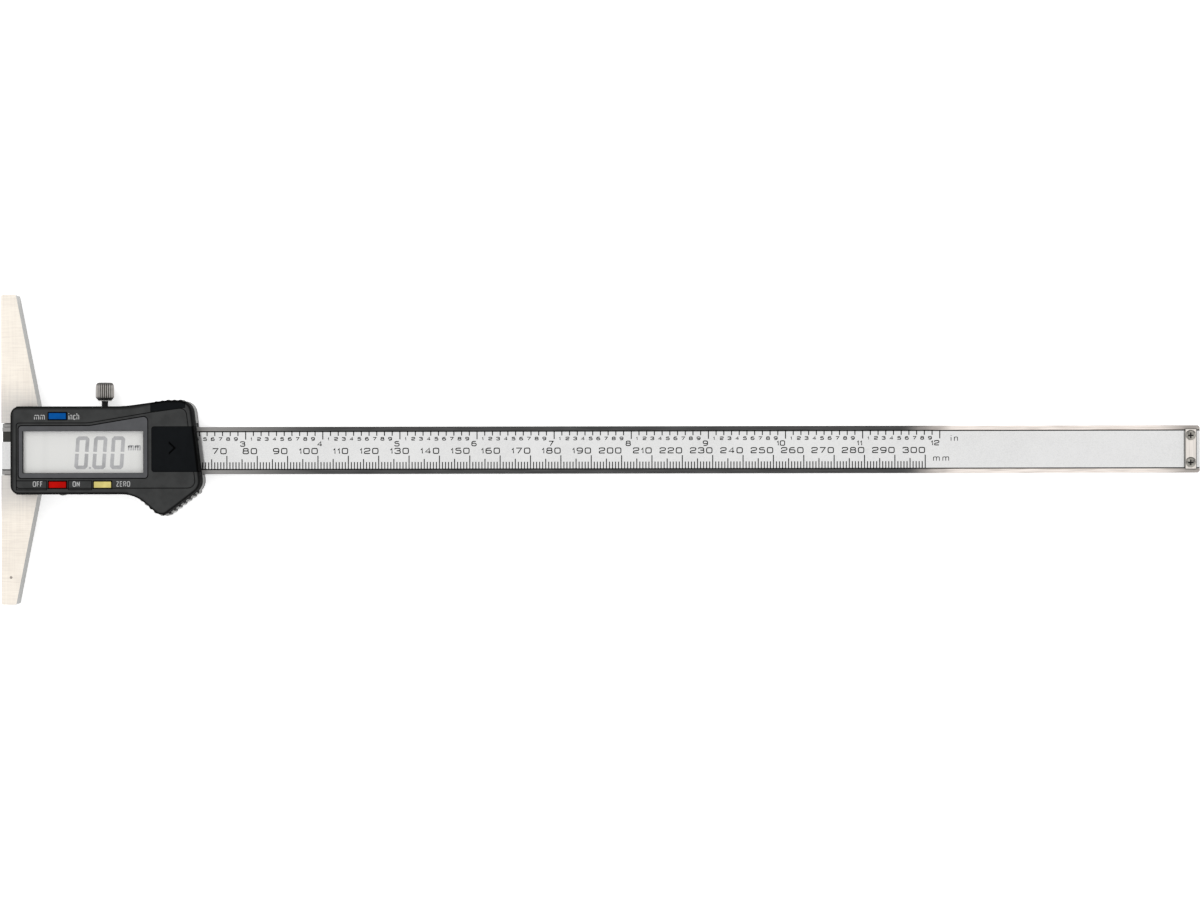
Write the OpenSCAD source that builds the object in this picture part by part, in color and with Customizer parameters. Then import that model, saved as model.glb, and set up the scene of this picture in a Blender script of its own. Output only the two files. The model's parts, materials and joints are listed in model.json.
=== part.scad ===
// Digital depth gauge: a steel base and slider carry a flat beam that drops below the measuring face.
// The gauge lies on its back: X runs along the beam, Y across it, Z out of the display.
// The origin is the middle of the measuring face, at the back plane. All sizes are millimetres.

/* [Beam] */
// Length of the beam
beam_length = 394.5; // [380:0.5:600]
// Width of the beam
beam_width = 15.6; // [13:0.1:18]
// Thickness of the beam
beam_thickness = 4; // [3.2:0.1:6]
// Height of the beam's middle line over the X axis
beam_y = -0.4; // [-1:0.1:1]
// Width of the rim on each side of the scale recess
rim_width = 1.4; // [1:0.05:2]
// Depth of the scale recess
recess_depth = 0.9; // [0.85:0.05:1.5]
// How far the upper part of the tip is set back
tip_setback = 0.15; // [0.1:0.05:1]
// Height of the tip's step over the beam's middle line
tip_step = 3; // [1:0.1:5]
// Length of the bare recess floor at the tip
tip_bare = 6; // [3:0.5:15]
// Corner chamfer of the beam's far end
beam_chamfer = 0.6; // [0.2:0.1:1]

/* [Scale] */
// Thickness of the scale board
scale_board_thickness = 0.7; // [0.5:0.05:0.75]
// Thickness of the printed scale label
label_thickness = 0.1; // [0.06:0.01:0.15]
// Gap between the scale and the walls of its recess
scale_gap = 0.05; // [0.02:0.01:0.1]

/* [Stop plate] */
// Length of the stop plate along the beam
stop_length = 3.9; // [3.5:0.1:8]
// Width of the stop plate
stop_width = 13.46; // [13:0.02:15]
// Thickness of the stop plate
stop_thickness = 1; // [0.6:0.1:1.2]
// Distance from the beam's end to the stop plate
stop_inset = 1.2; // [0.5:0.1:5]
// Corner chamfer of the stop plate
stop_chamfer = 0.4; // [0.1:0.1:0.8]
// Distance between the two stop screws
stop_screw_pitch = 8.92; // [6:0.02:10]
// Head radius of a stop screw
stop_head_r = 1.53; // [1.3:0.01:1.7]
// Shaft radius of a stop screw
stop_shaft_r = 1; // [0.8:0.05:1.2]
// Length of a stop screw
stop_screw_length = 4.2; // [3.4:0.1:4.8]

/* [Base] */
// Half the length of the base
base_half_length = 51; // [40:0.25:80]
// Width of the base at its narrow ends
base_end_width = 4.9; // [3:0.1:8]
// Width of the base at its root
base_root_width = 12.65; // [11.5:0.05:15]
// Distance from the X axis at which the base reaches its root width
base_root_half = 11.6; // [9:0.1:16]
// Radius of the base's corners
base_corner_r = 0.7; // [0.2:0.1:2]
// Place of the lap joint's shoulder
lap_x = 5; // [4:0.1:6]
// Height of the base's half of the lap joint
lap_height = 3.6; // [3:0.1:5]
// Head radius of a base screw
base_head_r = 2.2; // [1.8:0.05:2.4]
// Shaft radius of a base screw
base_shaft_r = 1.25; // [1:0.05:1.4]
// Length of a base screw
base_screw_length = 6.6; // [5:0.1:7]

/* [Slider frame] */
// Thickness of the wall behind the beam
back_wall = 2.2; // [1.6:0.1:4]
// Thickness of the cheek above the gib
upper_cheek = 5.4; // [5.2:0.05:10]
// Thickness of the cheek below the beam
lower_cheek = 6.3; // [5.6:0.05:10]
// How far the lips reach over the beam's edges
lip_reach = 1; // [0.5:0.1:2]
// Radius of a grip tooth
tooth_r = 1; // [0.7:0.05:1.2]
// Distance between grip teeth
tooth_pitch = 2; // [1.6:0.05:3]
// How far the lower grip teeth stand out
tooth_proud = 0.7; // [0.3:0.05:0.9]
// How far the upper grip teeth stand out
crown_tooth_proud = 0.4; // [0.2:0.05:0.8]
// How far the left flank of the grip stands out under its teeth
flank_band = 0.35; // [0.2:0.05:0.8]
// Teeth on the grip's left flank
left_teeth = 4; // [2:1:4]
// Teeth on the grip's right flank
right_teeth = 6; // [3:1:7]
// Teeth on the crown's slope
crown_teeth = 2; // [1:1:4]
// Teeth on the crown's level part
level_teeth = 3; // [1:1:3]
// Distance from the grip's point to the first tooth of each flank
apex_tooth_gap = 3.3; // [2.8:0.1:4]
// Angle between the teeth round the grip's point
apex_tooth_turn = 37; // [25:1:45]
// Radius of the small locating nub on the lower edge
nub_r = 1.9; // [1.8:0.1:3]
// How far the nub stands out
nub_proud = 0.45; // [0.3:0.05:1.5]

/* [Gib] */
// Thickness of the gib strip
gib_thickness = 1.1; // [0.8:0.05:2]
// Height of the gib strip
gib_height = 3.6; // [2.5:0.1:3.8]
// Place of the gib's left end
gib_start = 0.2; // [0.2:0.1:4]
// Distance from the slider's right side to the gib's right end
gib_end_inset = 5; // [4:0.5:10]
// Radius of a gib set screw
gib_screw_r = 1.25; // [1:0.05:1.5]
// Length of a gib set screw
gib_screw_length = 4.6; // [3:0.1:5.2]

/* [Lock screw] */
// Place of the lock screw along the beam
lock_x = 33.64; // [28:0.1:44]
// Radius of the lock screw's thread
lock_thread_r = 1.3; // [1.1:0.05:1.6]
// Radius of the lock screw's neck
lock_neck_r = 1.05; // [0.8:0.05:1.2]
// Radius of the knurled head
lock_head_r = 3.03; // [2.5:0.05:3.6]
// Length of the knurled head
lock_head_length = 6.1; // [4:0.1:9]
// Length of the neck outside the cheek
lock_neck_length = 1.85; // [1.5:0.05:4]
// Chamfer at both ends of the head
lock_chamfer = 0.9; // [0.3:0.05:1.2]
// Number of knurls round the head
lock_knurls = 32; // [20:1:40]
// Depth of the knurls
lock_knurl_depth = 0.2; // [0.1:0.01:0.3]

/* [Housing] */
// Place of the housing's left edge
body_left = 4.42; // [3:0.01:4.9]
// Height of the housing over the frame
housing_height = 7.8; // [7:0.1:12]
// Thickness of the housing's walls
housing_wall = 1.3; // [1:0.05:1.5]
// Radius of the housing's left corners
body_corner_r = 2.9; // [1.4:0.1:3.5]
// Rise of the crown over the upper edge
crown_rise = 1.85; // [1.5:0.05:4]
// Drop of the thumb grip's point below the lower edge
grip_drop = 7.5; // [5:0.02:10]
// Radius of the thumb grip's point
grip_apex_r = 3; // [2.5:0.1:4.5]
// Radius that blends the lower edge into the thumb grip
grip_blend_r = 11; // [5:0.5:14]
// Distance from the housing's right end to the thumb grip's point
grip_apex_inset = 12.9; // [11:0.1:15]
// Distance from the housing's right end to where the lower edge turns down
grip_start_inset = 21.65; // [20:0.01:26]
// Radius of the heel, right of the thumb grip
heel_r = 4.5; // [2:0.1:6]
// Height of the heel over the lower edge
heel_rise = 2.3; // [1.5:0.1:5]
// Distance from the housing's right end to its shoulder
shoulder_inset = 1.95; // [0.8:0.01:2.2]
// Height of the shoulder over the beam's middle line
shoulder_rise = 4.4; // [2:0.1:7]
// Distance from the housing's right end to the crown's right corner
crown_right_inset = 3.4; // [2.6:0.01:4.5]
// Distance from the housing's right end to the crown's left corner
crown_left_inset = 11.7; // [11:0.01:14]
// Distance from the housing's right end to where the upper edge starts to rise
crown_start_inset = 25.1; // [20:0.01:30]
// Radius of the crown's right corner
crown_r = 4; // [2:0.1:4.5]
// Distance from the housing's left and lower edges to the raised panel
panel_inset = 1.9; // [1.4:0.05:2.1]
// Distance from the housing's right end to the panel's lower right corner
panel_heel_inset = 1.42; // [1.2:0.01:4]
// Distance from the housing's right end to the panel's upper right corner
panel_crown_inset = 4.7; // [4.3:0.01:7]
// Distance between the window and the panel's upper edge
panel_window_band = 1.14; // [0.7:0.02:1.6]
// Width of the groove round the raised panel
groove_width = 0.28; // [0.15:0.01:0.5]
// Depth of the groove round the raised panel
groove_depth = 0.2; // [0.1:0.01:0.4]
// Radius of the housing's screw bosses
boss_r = 1.7; // [1.5:0.05:2]
// Head radius of a housing screw
housing_head_r = 1.75; // [1.5:0.05:1.9]
// Shaft radius of a housing screw
housing_shaft_r = 1; // [0.8:0.05:1.1]
// Length of a housing screw
housing_screw_length = 11; // [9.5:0.1:12]

/* [Display] */
// Distance from the housing's left edge to the window
window_inset = 2.78; // [2.2:0.01:4]
// Length of the window
window_length = 42.05; // [40:0.05:50]
// Distance from the housing's lower edge to the window
window_lower_band = 5.39; // [5:0.01:7]
// Distance from the housing's upper edge to the window
window_upper_band = 6.43; // [6.2:0.01:8]
// Rise of the window's upper edge at its right end
window_rise = 3.18; // [0.5:0.02:3.4]
// Length of the level part of the window's upper edge
window_level = 23.1; // [15:0.1:30]
// Thickness of the window
window_thickness = 0.7; // [0.5:0.05:0.8]
// Gap round the window
window_gap = 0.3; // [0.1:0.01:0.4]
// Distance from the window's edge to the visible display
view_margin = 1.35; // [1.2:0.05:2.5]
// Thickness of the display glass
lcd_thickness = 1.75; // [1.4:0.05:2.5]
// Distance from the window's edge to the display glass
lcd_margin = 0.5; // [0.4:0.05:1]
// Thickness of the display holder's walls
holder_wall = 0.9; // [0.6:0.05:1.2]
// Width of the rubber contact strip
zebra_width = 1.2; // [0.8:0.1:2]
// Length of the rubber contact strip
zebra_length = 33; // [20:1:38]

/* [Buttons] */
// Length of a button cap
button_length = 5.6; // [4:0.1:6]
// Width of a button cap
button_width = 2; // [1.5:0.1:2.2]
// How far a button stands out of the face
button_proud = 0.3; // [0.1:0.05:0.8]
// How far a button travels
button_travel = 0.4; // [0.2:0.05:0.5]
// Width of the collar that keeps a button in
button_collar = 0.4; // [0.3:0.05:0.5]
// Distance from the housing's left edge to the first button
button_first = 15.48; // [15.1:0.01:17]
// Distance from the first lower button to the second
button_pitch = 14.7; // [12:0.1:20]
// Distance from the upper edge to the upper button
button_upper_inset = 3.2; // [3:0.05:3.4]
// Distance from the lower edge to the lower buttons
button_lower_inset = 3.2; // [2.9:0.05:3.4]

/* [Electronics] */
// Thickness of the main board
board_thickness = 1; // [0.6:0.1:1.6]
// Radius of the coin cell
cell_r = 5.8; // [5:0.05:5.9]
// Height of the coin cell
cell_height = 5.4; // [3:0.1:5.6]
// Gap round the coin cell
cell_gap = 0.2; // [0.1:0.05:0.3]
// Wall of the ring that holds the coin cell
cell_ring_wall = 0.8; // [0.6:0.05:1]
// Thickness of the battery contacts
contact_thickness = 0.2; // [0.15:0.01:0.3]
// Length of the controller chip
chip_size = 6; // [4:0.5:9]
// Height of the controller chip
chip_height = 1.3; // [0.8:0.1:2]
// Height of the rubber keypad domes
dome_height = 1.5; // [1:0.1:2]

/* [Covers] */
// Gap between the window and the battery cover
cover_inset = 1.45; // [1.2:0.05:3]
// Length of the battery bay
bay_length = 15.9; // [15.7:0.01:20]
// Width of the battery cover
cover_width = 14.6; // [13.6:0.1:15]
// Radius of the battery cover's corners
cover_r = 0.7; // [0.3:0.1:1.5]
// Width of the cover's side tongues
tongue_width = 0.6; // [0.3:0.05:0.8]
// Height of the cover's side tongues
tongue_height = 0.5; // [0.3:0.05:0.6]
// Length of the port cover
port_length = 11.1; // [8:0.1:12]
// Distance from the upper edge down to the port cover's lower left corner
port_band = 1.85; // [1.5:0.05:2.2]
// Slope of the port cover's lower edge
port_slope = 0.13; // [0.1:0.01:0.15]
// Depth of both covers' skirts below the face
skirt_depth = 5.8; // [4:0.1:6]

/* [Fits] */
// Gap between the beam and what guides it
slide_gap = 0.05; // [0.02:0.01:0.1]
// Gap between the beam's lower edge and the cheek
edge_gap = 0.15; // [0.05:0.01:0.3]
// Gap between the beam and the lips over it
lip_gap = 0.25; // [0.15:0.01:0.5]
// Gap between the gib and its cheek
gib_back_gap = 0.2; // [0.1:0.01:0.4]
// Gap between fixed pieces that seat together
seat_gap = 0.05; // [0.02:0.01:0.1]
// Gap round pieces that are taken off or pressed
cover_gap = 0.15; // [0.1:0.01:0.2]

/* [Hidden] */
$fn = 48;

// cuts run past a face by this much
over = 1;
// steps in each rounded corner of an outline
corner_steps = 6;
// sides of a grip tooth
tooth_sides = 24;

// small sizes that follow from how the pieces are made
shoulder_r = 20;
crown_left_r = 10;
crown_start_r = 40;
window_r = 0.9;
window_rise_r = 1.3;
window_bend_r = 8;
window_sink = 0.1;
panel_r = 1;
panel_heel_r = 2.5;
panel_crown_r = 2.3;
panel_port_bend_r = 20;
panel_window_bend_r = 12;
panel_bend_shift = 0.3;
base_shoulder_r = 1;
// rim of a countersunk head, and the width, breadth and depth of its cross recess as shares of the head
head_rim = 0.15;
cross_share = 0.62;
cross_breadth = 0.15;
cross_depth = 0.4;
// places of the crown's teeth from the crown's two corners
crown_tooth_left = 1.9;
crown_tooth_right = 4.2;
// nub's height, and its rise over the beam's underside
nub_height = 3;
nub_rise = 0.75;
// gib screws' distances from the lock screw, and their slot
gib_screw_left = 9.6;
gib_screw_right = 16.4;
gib_slot_width = 0.4;
gib_slot_depth = 0.7;
// right-hand housing screws
right_screw_inset = 5.1;
upper_right_drop = 1;
lower_right_rise = 0.6;
// wall between the base's shoulder and a screw head
screw_wall = 0.35;
// the housing's softened edge: drop below the face and move inwards, from the side to the top
EDGE_DROPS = [0.8, 0.45, 0.15, -0.1];
EDGE_INSETS = [0, 0.12, 0.42, 1.3];
// walls and rails inside the housing
rib_gap = 0.2;
bay_wall_left = 0.7;
bay_wall_right = 0.6;
rail_width = 0.9;
rail_drop = 1;
// surround of a button
surround_width = 0.25;
surround_depth = 0.3;
// thin frame lines round the words
word_line_left = 1.74;
word_line_low = 1.4;
word_line_button = 3.4;
word_line_window = 0.75;
// board's distances from the body's edges and from the bosses
board_side = 3.3;
board_edge = 1.75;
board_clear = 0.3;
board_slide = 0.1;
board_start = 3;
// battery bay
bay_rise = 0.5;
cell_side = 0.5;
cell_lift = 0.5;
cell_step = 1;
cell_step_low = 0.5;
cell_step_high = 0.9;
skirt_thickness = 1.2;
port_shift = 0.3;
// button's collar, stem, and the rubber under it
collar_height = 0.7;
stem_half = [0.9, 0.7];
dome_foot_r = 1.1;
dome_top_r = 0.8;
keypad_reach = 2.5;
keypad_foot_height = 0.5;
// arrow on the battery cover
arrow_x = 7.9;
arrow_rise = 0.4;
arrow_length = 2.4;
arrow_half = 2.3;
arrow_band = 0.8;
arrow_depth = 0.2;
// contacts of the cell and of the port
contact_half = 1;
contact_foot = 1.2;
contact_drop = 1.5;
leaf_width = 2.4;
leaf_foot = 4;
leaf_bend = 3;
leaf_top = 1.5;
port_half = 3;
port_strip_low = 1.8;
port_strip_height = 0.6;
port_pin_pitch = 1.4;
port_pin_half = 0.35;
port_pin_height = 1.1;
port_pin_gap = 0.2;

// heights, from the back plane up
beam_z = back_wall + slide_gap;
beam_top_z = beam_z + beam_thickness;
board_z = beam_top_z + lip_gap;
frame_top = board_z + board_thickness;
face_z = frame_top + housing_height;
face_inner_z = face_z - housing_wall;
recess_z = beam_top_z - recess_depth;
label_z = recess_z + scale_board_thickness;
screw_axis_z = beam_z + beam_thickness / 2;

// the beam's edges and the channel that guides it
beam_low = beam_y - beam_width / 2;
beam_high = beam_y + beam_width / 2;
gib_low = beam_high + slide_gap;
gib_high = gib_low + gib_thickness;
channel_low = beam_low - edge_gap;
channel_high = gib_high + gib_back_gap;
recess_half = beam_width / 2 - rim_width;

// the body's outline, shared by the frame and the housing
body_top = channel_high + upper_cheek;
body_bottom = channel_low - lower_cheek;
window_left = body_left + window_inset;
window_right = window_left + window_length;
cover_left = window_right + cover_inset;
body_right = cover_left + bay_length;
crown_y = body_top + crown_rise;
heel_y = body_bottom + heel_rise;
apex_y = body_bottom - grip_drop;
apex_x = body_right - grip_apex_inset;
grip_x = body_right - grip_start_inset;
crown_right_x = body_right - crown_right_inset;
crown_left_x = body_right - crown_left_inset;
crown_start_x = body_right - crown_start_inset;
// each corner is its place and its radius, anticlockwise from the lower left
BODY_CORNERS = [
    [body_left, body_bottom, body_corner_r],
    [grip_x, body_bottom, grip_blend_r],
    [apex_x, apex_y, grip_apex_r],
    [body_right, heel_y, heel_r],
    [body_right - shoulder_inset, beam_y + shoulder_rise, shoulder_r],
    [crown_right_x, crown_y, crown_r],
    [crown_left_x, crown_y, crown_left_r],
    [crown_start_x, body_top, crown_start_r],
    [body_left, body_top, body_corner_r]];

// the window, the visible display and the display glass
window_low = body_bottom + window_lower_band;
window_high = body_top - window_upper_band;
WINDOW_CORNERS = [
    [window_left, window_low, window_r],
    [window_right, window_low, window_r],
    [window_right, window_high + window_rise, window_rise_r],
    [window_left + window_level, window_high, window_bend_r],
    [window_left, window_high, window_r]];
window_z = face_z - window_thickness - window_sink;
lcd_z = face_inner_z - seat_gap - lcd_thickness;
lcd_left = window_left + lcd_margin;
lcd_right = window_right - lcd_margin;
lcd_low = window_low + lcd_margin;
lcd_high = window_high - lcd_margin;

// port cover, whose lower edge rises towards the right
port_left = cover_left - port_shift;
port_right = port_left + port_length;
port_low = body_top - port_band;
function port_rise(x) = (x - port_left) * port_slope;

// the raised panel that the groove goes round
PANEL_CORNERS = [
    [body_left + panel_inset, body_bottom + panel_inset, panel_r],
    [body_right - panel_heel_inset, body_bottom + panel_inset, panel_heel_r],
    [body_right - panel_crown_inset, port_low + port_rise(port_right + over), panel_crown_r],
    [port_left, port_low, panel_port_bend_r],
    [window_left + window_level - panel_bend_shift, window_high + panel_window_band, panel_window_bend_r],
    [body_left + panel_inset, window_high + panel_window_band, panel_r]];

// buttons
button_upper_y = body_top - button_upper_inset;
button_lower_y = body_bottom + button_lower_inset;
button_first_x = body_left + button_first;
button_second_x = button_first_x + button_pitch;
collar_z = face_inner_z - collar_height;
dome_top_z = frame_top + dome_height;
stem_z = dome_top_z + button_travel + seat_gap;

// housing and base screws
upper_screw_y = (channel_high + body_top) / 2;
lower_screw_y = (channel_low + body_bottom) / 2;
left_screw_x = base_root_width + housing_head_r + screw_wall;
right_screw_x = body_right - right_screw_inset;
HOUSING_SCREWS = [
    [left_screw_x, upper_screw_y],
    [left_screw_x, lower_screw_y],
    [right_screw_x, upper_screw_y - upper_right_drop],
    [right_screw_x, lower_screw_y + lower_right_rise]];
base_screw_x = (lap_x + base_root_width) / 2;
BASE_SCREWS = [[base_screw_x, upper_screw_y], [base_screw_x, lower_screw_y]];
GIB_SCREWS_X = [lock_x - gib_screw_left, lock_x + gib_screw_right];

// main board: a narrow tongue over the channel and a wide middle on the cheeks
board_left = lap_x + board_start;
board_right = body_right - board_side;
board_half = min(channel_high, -channel_low) - board_slide;
board_wide_left = left_screw_x + boss_r + board_clear;
board_wide_right = right_screw_x - boss_r - board_clear;
board_high = body_top - board_edge;
board_low = body_bottom + board_edge;

// battery bay
bay_y = beam_y + bay_rise;
ring_r = cell_r + cell_gap + cell_ring_wall;
cell_x = cover_left + cell_r + cell_gap + cell_side;
cell_z = frame_top + cell_lift;
cover_low = bay_y - cover_width / 2;
cover_high = bay_y + cover_width / 2;
skirt_z = face_z - skirt_depth;

stop_x = beam_length - stop_inset - stop_length;
stop_screw_x = stop_x + stop_length / 2;
lock_tip_y = gib_high + seat_gap;

function unit(v) = v / norm(v);

// centre of the arc of radius r that touches both sides of a corner
function corner_centre(before, at, after, r) =
    let (a = unit(before - at), b = unit(after - at)) at + unit(a + b) * r / sin(acos(a * b) / 2);

// one rounded corner: points on the arc that touches both sides
function corner_arc(before, at, after, r) =
    let (
        a = unit(before - at),
        b = unit(after - at),
        half = acos(a * b) / 2,
        centre = corner_centre(before, at, after, r),
        from = at + a * r / tan(half) - centre,
        to = at + b * r / tan(half) - centre,
        start = atan2(from.y, from.x),
        turn = atan2(from.x * to.y - from.y * to.x, from * to)
    )
    [for (i = [0 : corner_steps]) centre + r * [cos(start + turn * i / corner_steps),
        sin(start + turn * i / corner_steps)]];

// an outline with every corner rounded by its own radius
function rounded(corners) =
    let (n = len(corners), at = [for (c = corners) [c.x, c.y]])
    [for (i = [0 : n - 1]) each corner_arc(at[(i + n - 1) % n], at[i], at[(i + 1) % n], corners[i].z)];

// an outline moved inwards by d, for points that run anticlockwise
function inset(points, d) =
    let (n = len(points))
    [for (i = [0 : n - 1])
        let (
            e = unit(points[i] - points[(i + n - 1) % n]),
            f = unit(points[(i + 1) % n] - points[i]),
            p = [-e.y, e.x],
            q = [-f.y, f.x]
        )
        points[i] + (p + q) / (1 + p * q) * d];

BODY = rounded(BODY_CORNERS);
WINDOW = rounded(WINDOW_CORNERS);
PANEL = rounded(PANEL_CORNERS);

// a box given by its lowest and highest corners
module block(low, high) {
    translate(low) cube(high - low);
}

// a prism on an outline, between two heights
module prism(points, low, high) {
    translate([0, 0, low]) linear_extrude(high - low) polygon(points);
}

// closed solid through outlines stacked at rising heights, all with the same number of points
module stacked(outlines, heights) {
    n = len(outlines[0]);
    levels = len(outlines);
    points = [for (k = [0 : levels - 1]) each [for (p = outlines[k]) [p.x, p.y, heights[k]]]];
    sides = [for (k = [0 : levels - 2]) each [for (i = [0 : n - 1])
        [k * n + i, (k + 1) * n + i, (k + 1) * n + (i + 1) % n, k * n + (i + 1) % n]]];
    floor_face = [for (i = [0 : n - 1]) i];
    top_face = [for (i = [n - 1 : -1 : 0]) (levels - 1) * n + i];
    polyhedron(points, concat([floor_face], sides, [top_face]));
}

// countersunk screw with a cross recess, head at z = 0 and shaft upwards
module countersunk(head_r, shaft_r, length) {
    reach = head_r * cross_share;
    half = head_r * cross_breadth;
    difference() {
        rotate_extrude() polygon([[0, 0], [head_r, 0], [head_r, head_rim],
            [shaft_r, head_r - shaft_r + head_rim], [shaft_r, length], [0, length]]);
        for (turn = [0, 90])
            rotate([0, 0, turn]) block([-reach, -half, -over], [reach, half, head_r * cross_depth]);
    }
}

// the hole that a countersunk screw sits in
module countersink(head_r, shaft_r, length) {
    g = seat_gap;
    translate([0, 0, -over]) cylinder(r = head_r + g, h = over + head_rim + g);
    translate([0, 0, head_rim + g]) cylinder(r1 = head_r + g, r2 = shaft_r + g, h = head_r - shaft_r);
    cylinder(r = shaft_r + g, h = length + g);
}

// plan of the base, a bar that tapers to both ends, grown by a gap on its slider side
module base_plan(gap) {
    corners = [
        [0, -base_half_length, base_corner_r],
        [base_end_width + gap, -base_half_length, base_corner_r],
        [base_root_width + gap, -base_root_half, base_shoulder_r],
        [base_root_width + gap, base_root_half, base_shoulder_r],
        [base_end_width + gap, base_half_length, base_corner_r],
        [0, base_half_length, base_corner_r]];
    polygon(rounded(corners));
}

// measuring base, slotted for the beam and cut away where the slider laps over it
module base() {
    color("gainsboro") difference() {
        linear_extrude(frame_top) base_plan(0);
        block([-over, channel_low, back_wall], [base_root_width + over, channel_high, frame_top + over]);
        block([lap_x, body_bottom - seat_gap, lap_height],
            [base_root_width + over, body_top + seat_gap, frame_top + over]);
        for (s = BASE_SCREWS)
            translate([s.x, s.y, 0]) countersink(base_head_r, base_shaft_r, base_screw_length);
    }
}

// screws that hold the base to the slider, driven from the back
module base_screws() {
    color("silver") for (s = BASE_SCREWS)
        translate([s.x, s.y, 0]) countersunk(base_head_r, base_shaft_r, base_screw_length - over);
}

// a row of grip teeth from one point towards another, standing out of the line between them
module tooth_row(from, to, first, count, proud) {
    along = unit(to - from);
    inwards = [-along.y, along.x];
    for (i = [0 : count - 1])
        translate(from + along * (first + i * tooth_pitch) + inwards * (tooth_r - proud))
            cylinder(r = tooth_r, h = frame_top, $fn = tooth_sides);
}

// teeth of the thumb grip and of the crown
module grip_teeth() {
    start = [grip_x, body_bottom];
    apex = [apex_x, apex_y];
    heel = [body_right, heel_y];
    along = unit(apex - start);
    outwards = [along.y, -along.x];
    last = norm(apex - start) - apex_tooth_gap;
    first = last - (left_teeth - 1) * tooth_pitch;
    tooth_row(start, apex, first, left_teeth, tooth_proud + flank_band);
    band = outwards * flank_band;
    prism([
        start + along * (first - tooth_r), start + along * first + band,
        start + along * (last + tooth_pitch / 2) + band, start + along * last - outwards * tooth_r],
        0, frame_top);
    tooth_row(apex, heel, apex_tooth_gap, right_teeth, tooth_proud);
    centre = corner_centre(start, apex, heel, grip_apex_r);
    for (turn = [-apex_tooth_turn / 2, apex_tooth_turn / 2])
        translate(centre + (grip_apex_r - tooth_r + tooth_proud) * [sin(turn), -cos(turn)])
            cylinder(r = tooth_r, h = frame_top, $fn = tooth_sides);
    crown = [crown_left_x, crown_y];
    tooth_row(crown, [crown_start_x, body_top], crown_tooth_left, crown_teeth, crown_tooth_proud);
    tooth_row([crown_right_x, crown_y], crown, crown_tooth_right, level_teeth, crown_tooth_proud);
}

// main board's plan, grown by a gap
module board_plan(gap) {
    polygon([
        [board_left - gap, bay_y - board_half - gap], [board_wide_left - gap, bay_y - board_half - gap],
        [board_wide_left - gap, board_low - gap], [board_wide_right + gap, board_low - gap],
        [board_wide_right + gap, bay_y - board_half - gap], [board_right + gap, bay_y - board_half - gap],
        [board_right + gap, bay_y + board_half + gap], [board_wide_right + gap, bay_y + board_half + gap],
        [board_wide_right + gap, board_high + gap], [board_wide_left - gap, board_high + gap],
        [board_wide_left - gap, bay_y + board_half + gap], [board_left - gap, bay_y + board_half + gap]]);
}

// slider frame: a channel for the beam and its gib, with lips at both ends and a thumb grip
module slider_frame() {
    color("silver") difference() {
        union() {
            intersection() {
                prism(BODY, 0, frame_top);
                block([lap_x + seat_gap, apex_y - over, -over],
                    [body_right + over, crown_y + over, frame_top + over]);
            }
            grip_teeth();
            translate([button_first_x, body_bottom - nub_proud + nub_r, beam_z + nub_rise])
                cylinder(r = nub_r, h = nub_height);
        }
        block([-over, channel_low, back_wall], [body_right + over, channel_high, board_z]);
        block([-over, beam_low + lip_reach, back_wall],
            [body_right + over, beam_high - lip_reach, frame_top + over]);
        translate([0, 0, board_z]) linear_extrude(board_thickness + over) board_plan(cover_gap);
        translate([0, 0, -over]) linear_extrude(lap_height + over) base_plan(seat_gap);
        block([-over, channel_low, -over], [base_root_width + seat_gap, channel_high, board_z]);
        for (s = BASE_SCREWS)
            translate([s.x, s.y, 0]) cylinder(r = base_shaft_r + seat_gap, h = base_screw_length);
        for (s = HOUSING_SCREWS)
            translate([s.x, s.y, 0]) countersink(housing_head_r, housing_shaft_r, frame_top);
        for (x = GIB_SCREWS_X) side_hole(x, gib_screw_r, crown_rise + over);
        side_hole(lock_x, lock_thread_r, over);
    }
}

// a hole through the upper cheek, across the beam
module side_hole(x, r, past) {
    translate([x, gib_high, screw_axis_z]) rotate([-90, 0, 0])
        cylinder(r = r + seat_gap, h = body_top + past - gib_high);
}

// gib strip between the beam's upper edge and the cheek
module gib_strip() {
    color("gray") block([gib_start, gib_low, screw_axis_z - gib_height / 2],
        [body_right - gib_end_inset, gib_high, screw_axis_z + gib_height / 2]);
}

// slotted set screws that press on the gib
module gib_screws() {
    color("dimgray") for (x = GIB_SCREWS_X)
        translate([x, gib_high, screw_axis_z]) rotate([-90, 0, 0]) difference() {
            cylinder(r = gib_screw_r, h = gib_screw_length);
            block([-gib_screw_r - over, -gib_slot_width / 2, gib_screw_length - gib_slot_depth],
                [gib_screw_r + over, gib_slot_width / 2, gib_screw_length + over]);
        }
}

// outer form of the housing, its upper edge softened in three steps and its two flat faces cut true
module housing_block() {
    intersection() {
        stacked(concat([BODY], [for (d = EDGE_INSETS) inset(BODY, d)]),
            concat([frame_top - over], [for (d = EDGE_DROPS) face_z - d]));
        block([body_left - over, apex_y - over, frame_top], [body_right + over, crown_y + over, face_z]);
    }
}

// region of the battery cover, grown by a gap, from a height up
module cover_space(gap, low) {
    r = cover_r + gap;
    left = cover_left - gap;
    right = body_right + over;
    prism(rounded([[left, cover_low - gap, r], [right, cover_low - gap, r], [right, cover_high + gap, r],
        [left, cover_high + gap, r]]), low, face_z + over);
}

// grooves or tongues along both sides of the battery cover
module cover_tongues(gap) {
    block([cover_left + 1 - gap, cover_low - tongue_width - gap, face_inner_z - gap],
        [body_right + over, cover_high + tongue_width + gap, face_inner_z + tongue_height + gap]);
}

// region of the port cover, grown by a gap, from a height up
module port_space(gap, low) {
    left = port_left - gap;
    right = port_right + gap;
    prism([[left, port_low - gap + port_rise(left)], [right, port_low - gap + port_rise(right)],
        [right, crown_y + 3 * over], [left, crown_y + 3 * over]], low, face_z + over);
}

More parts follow.
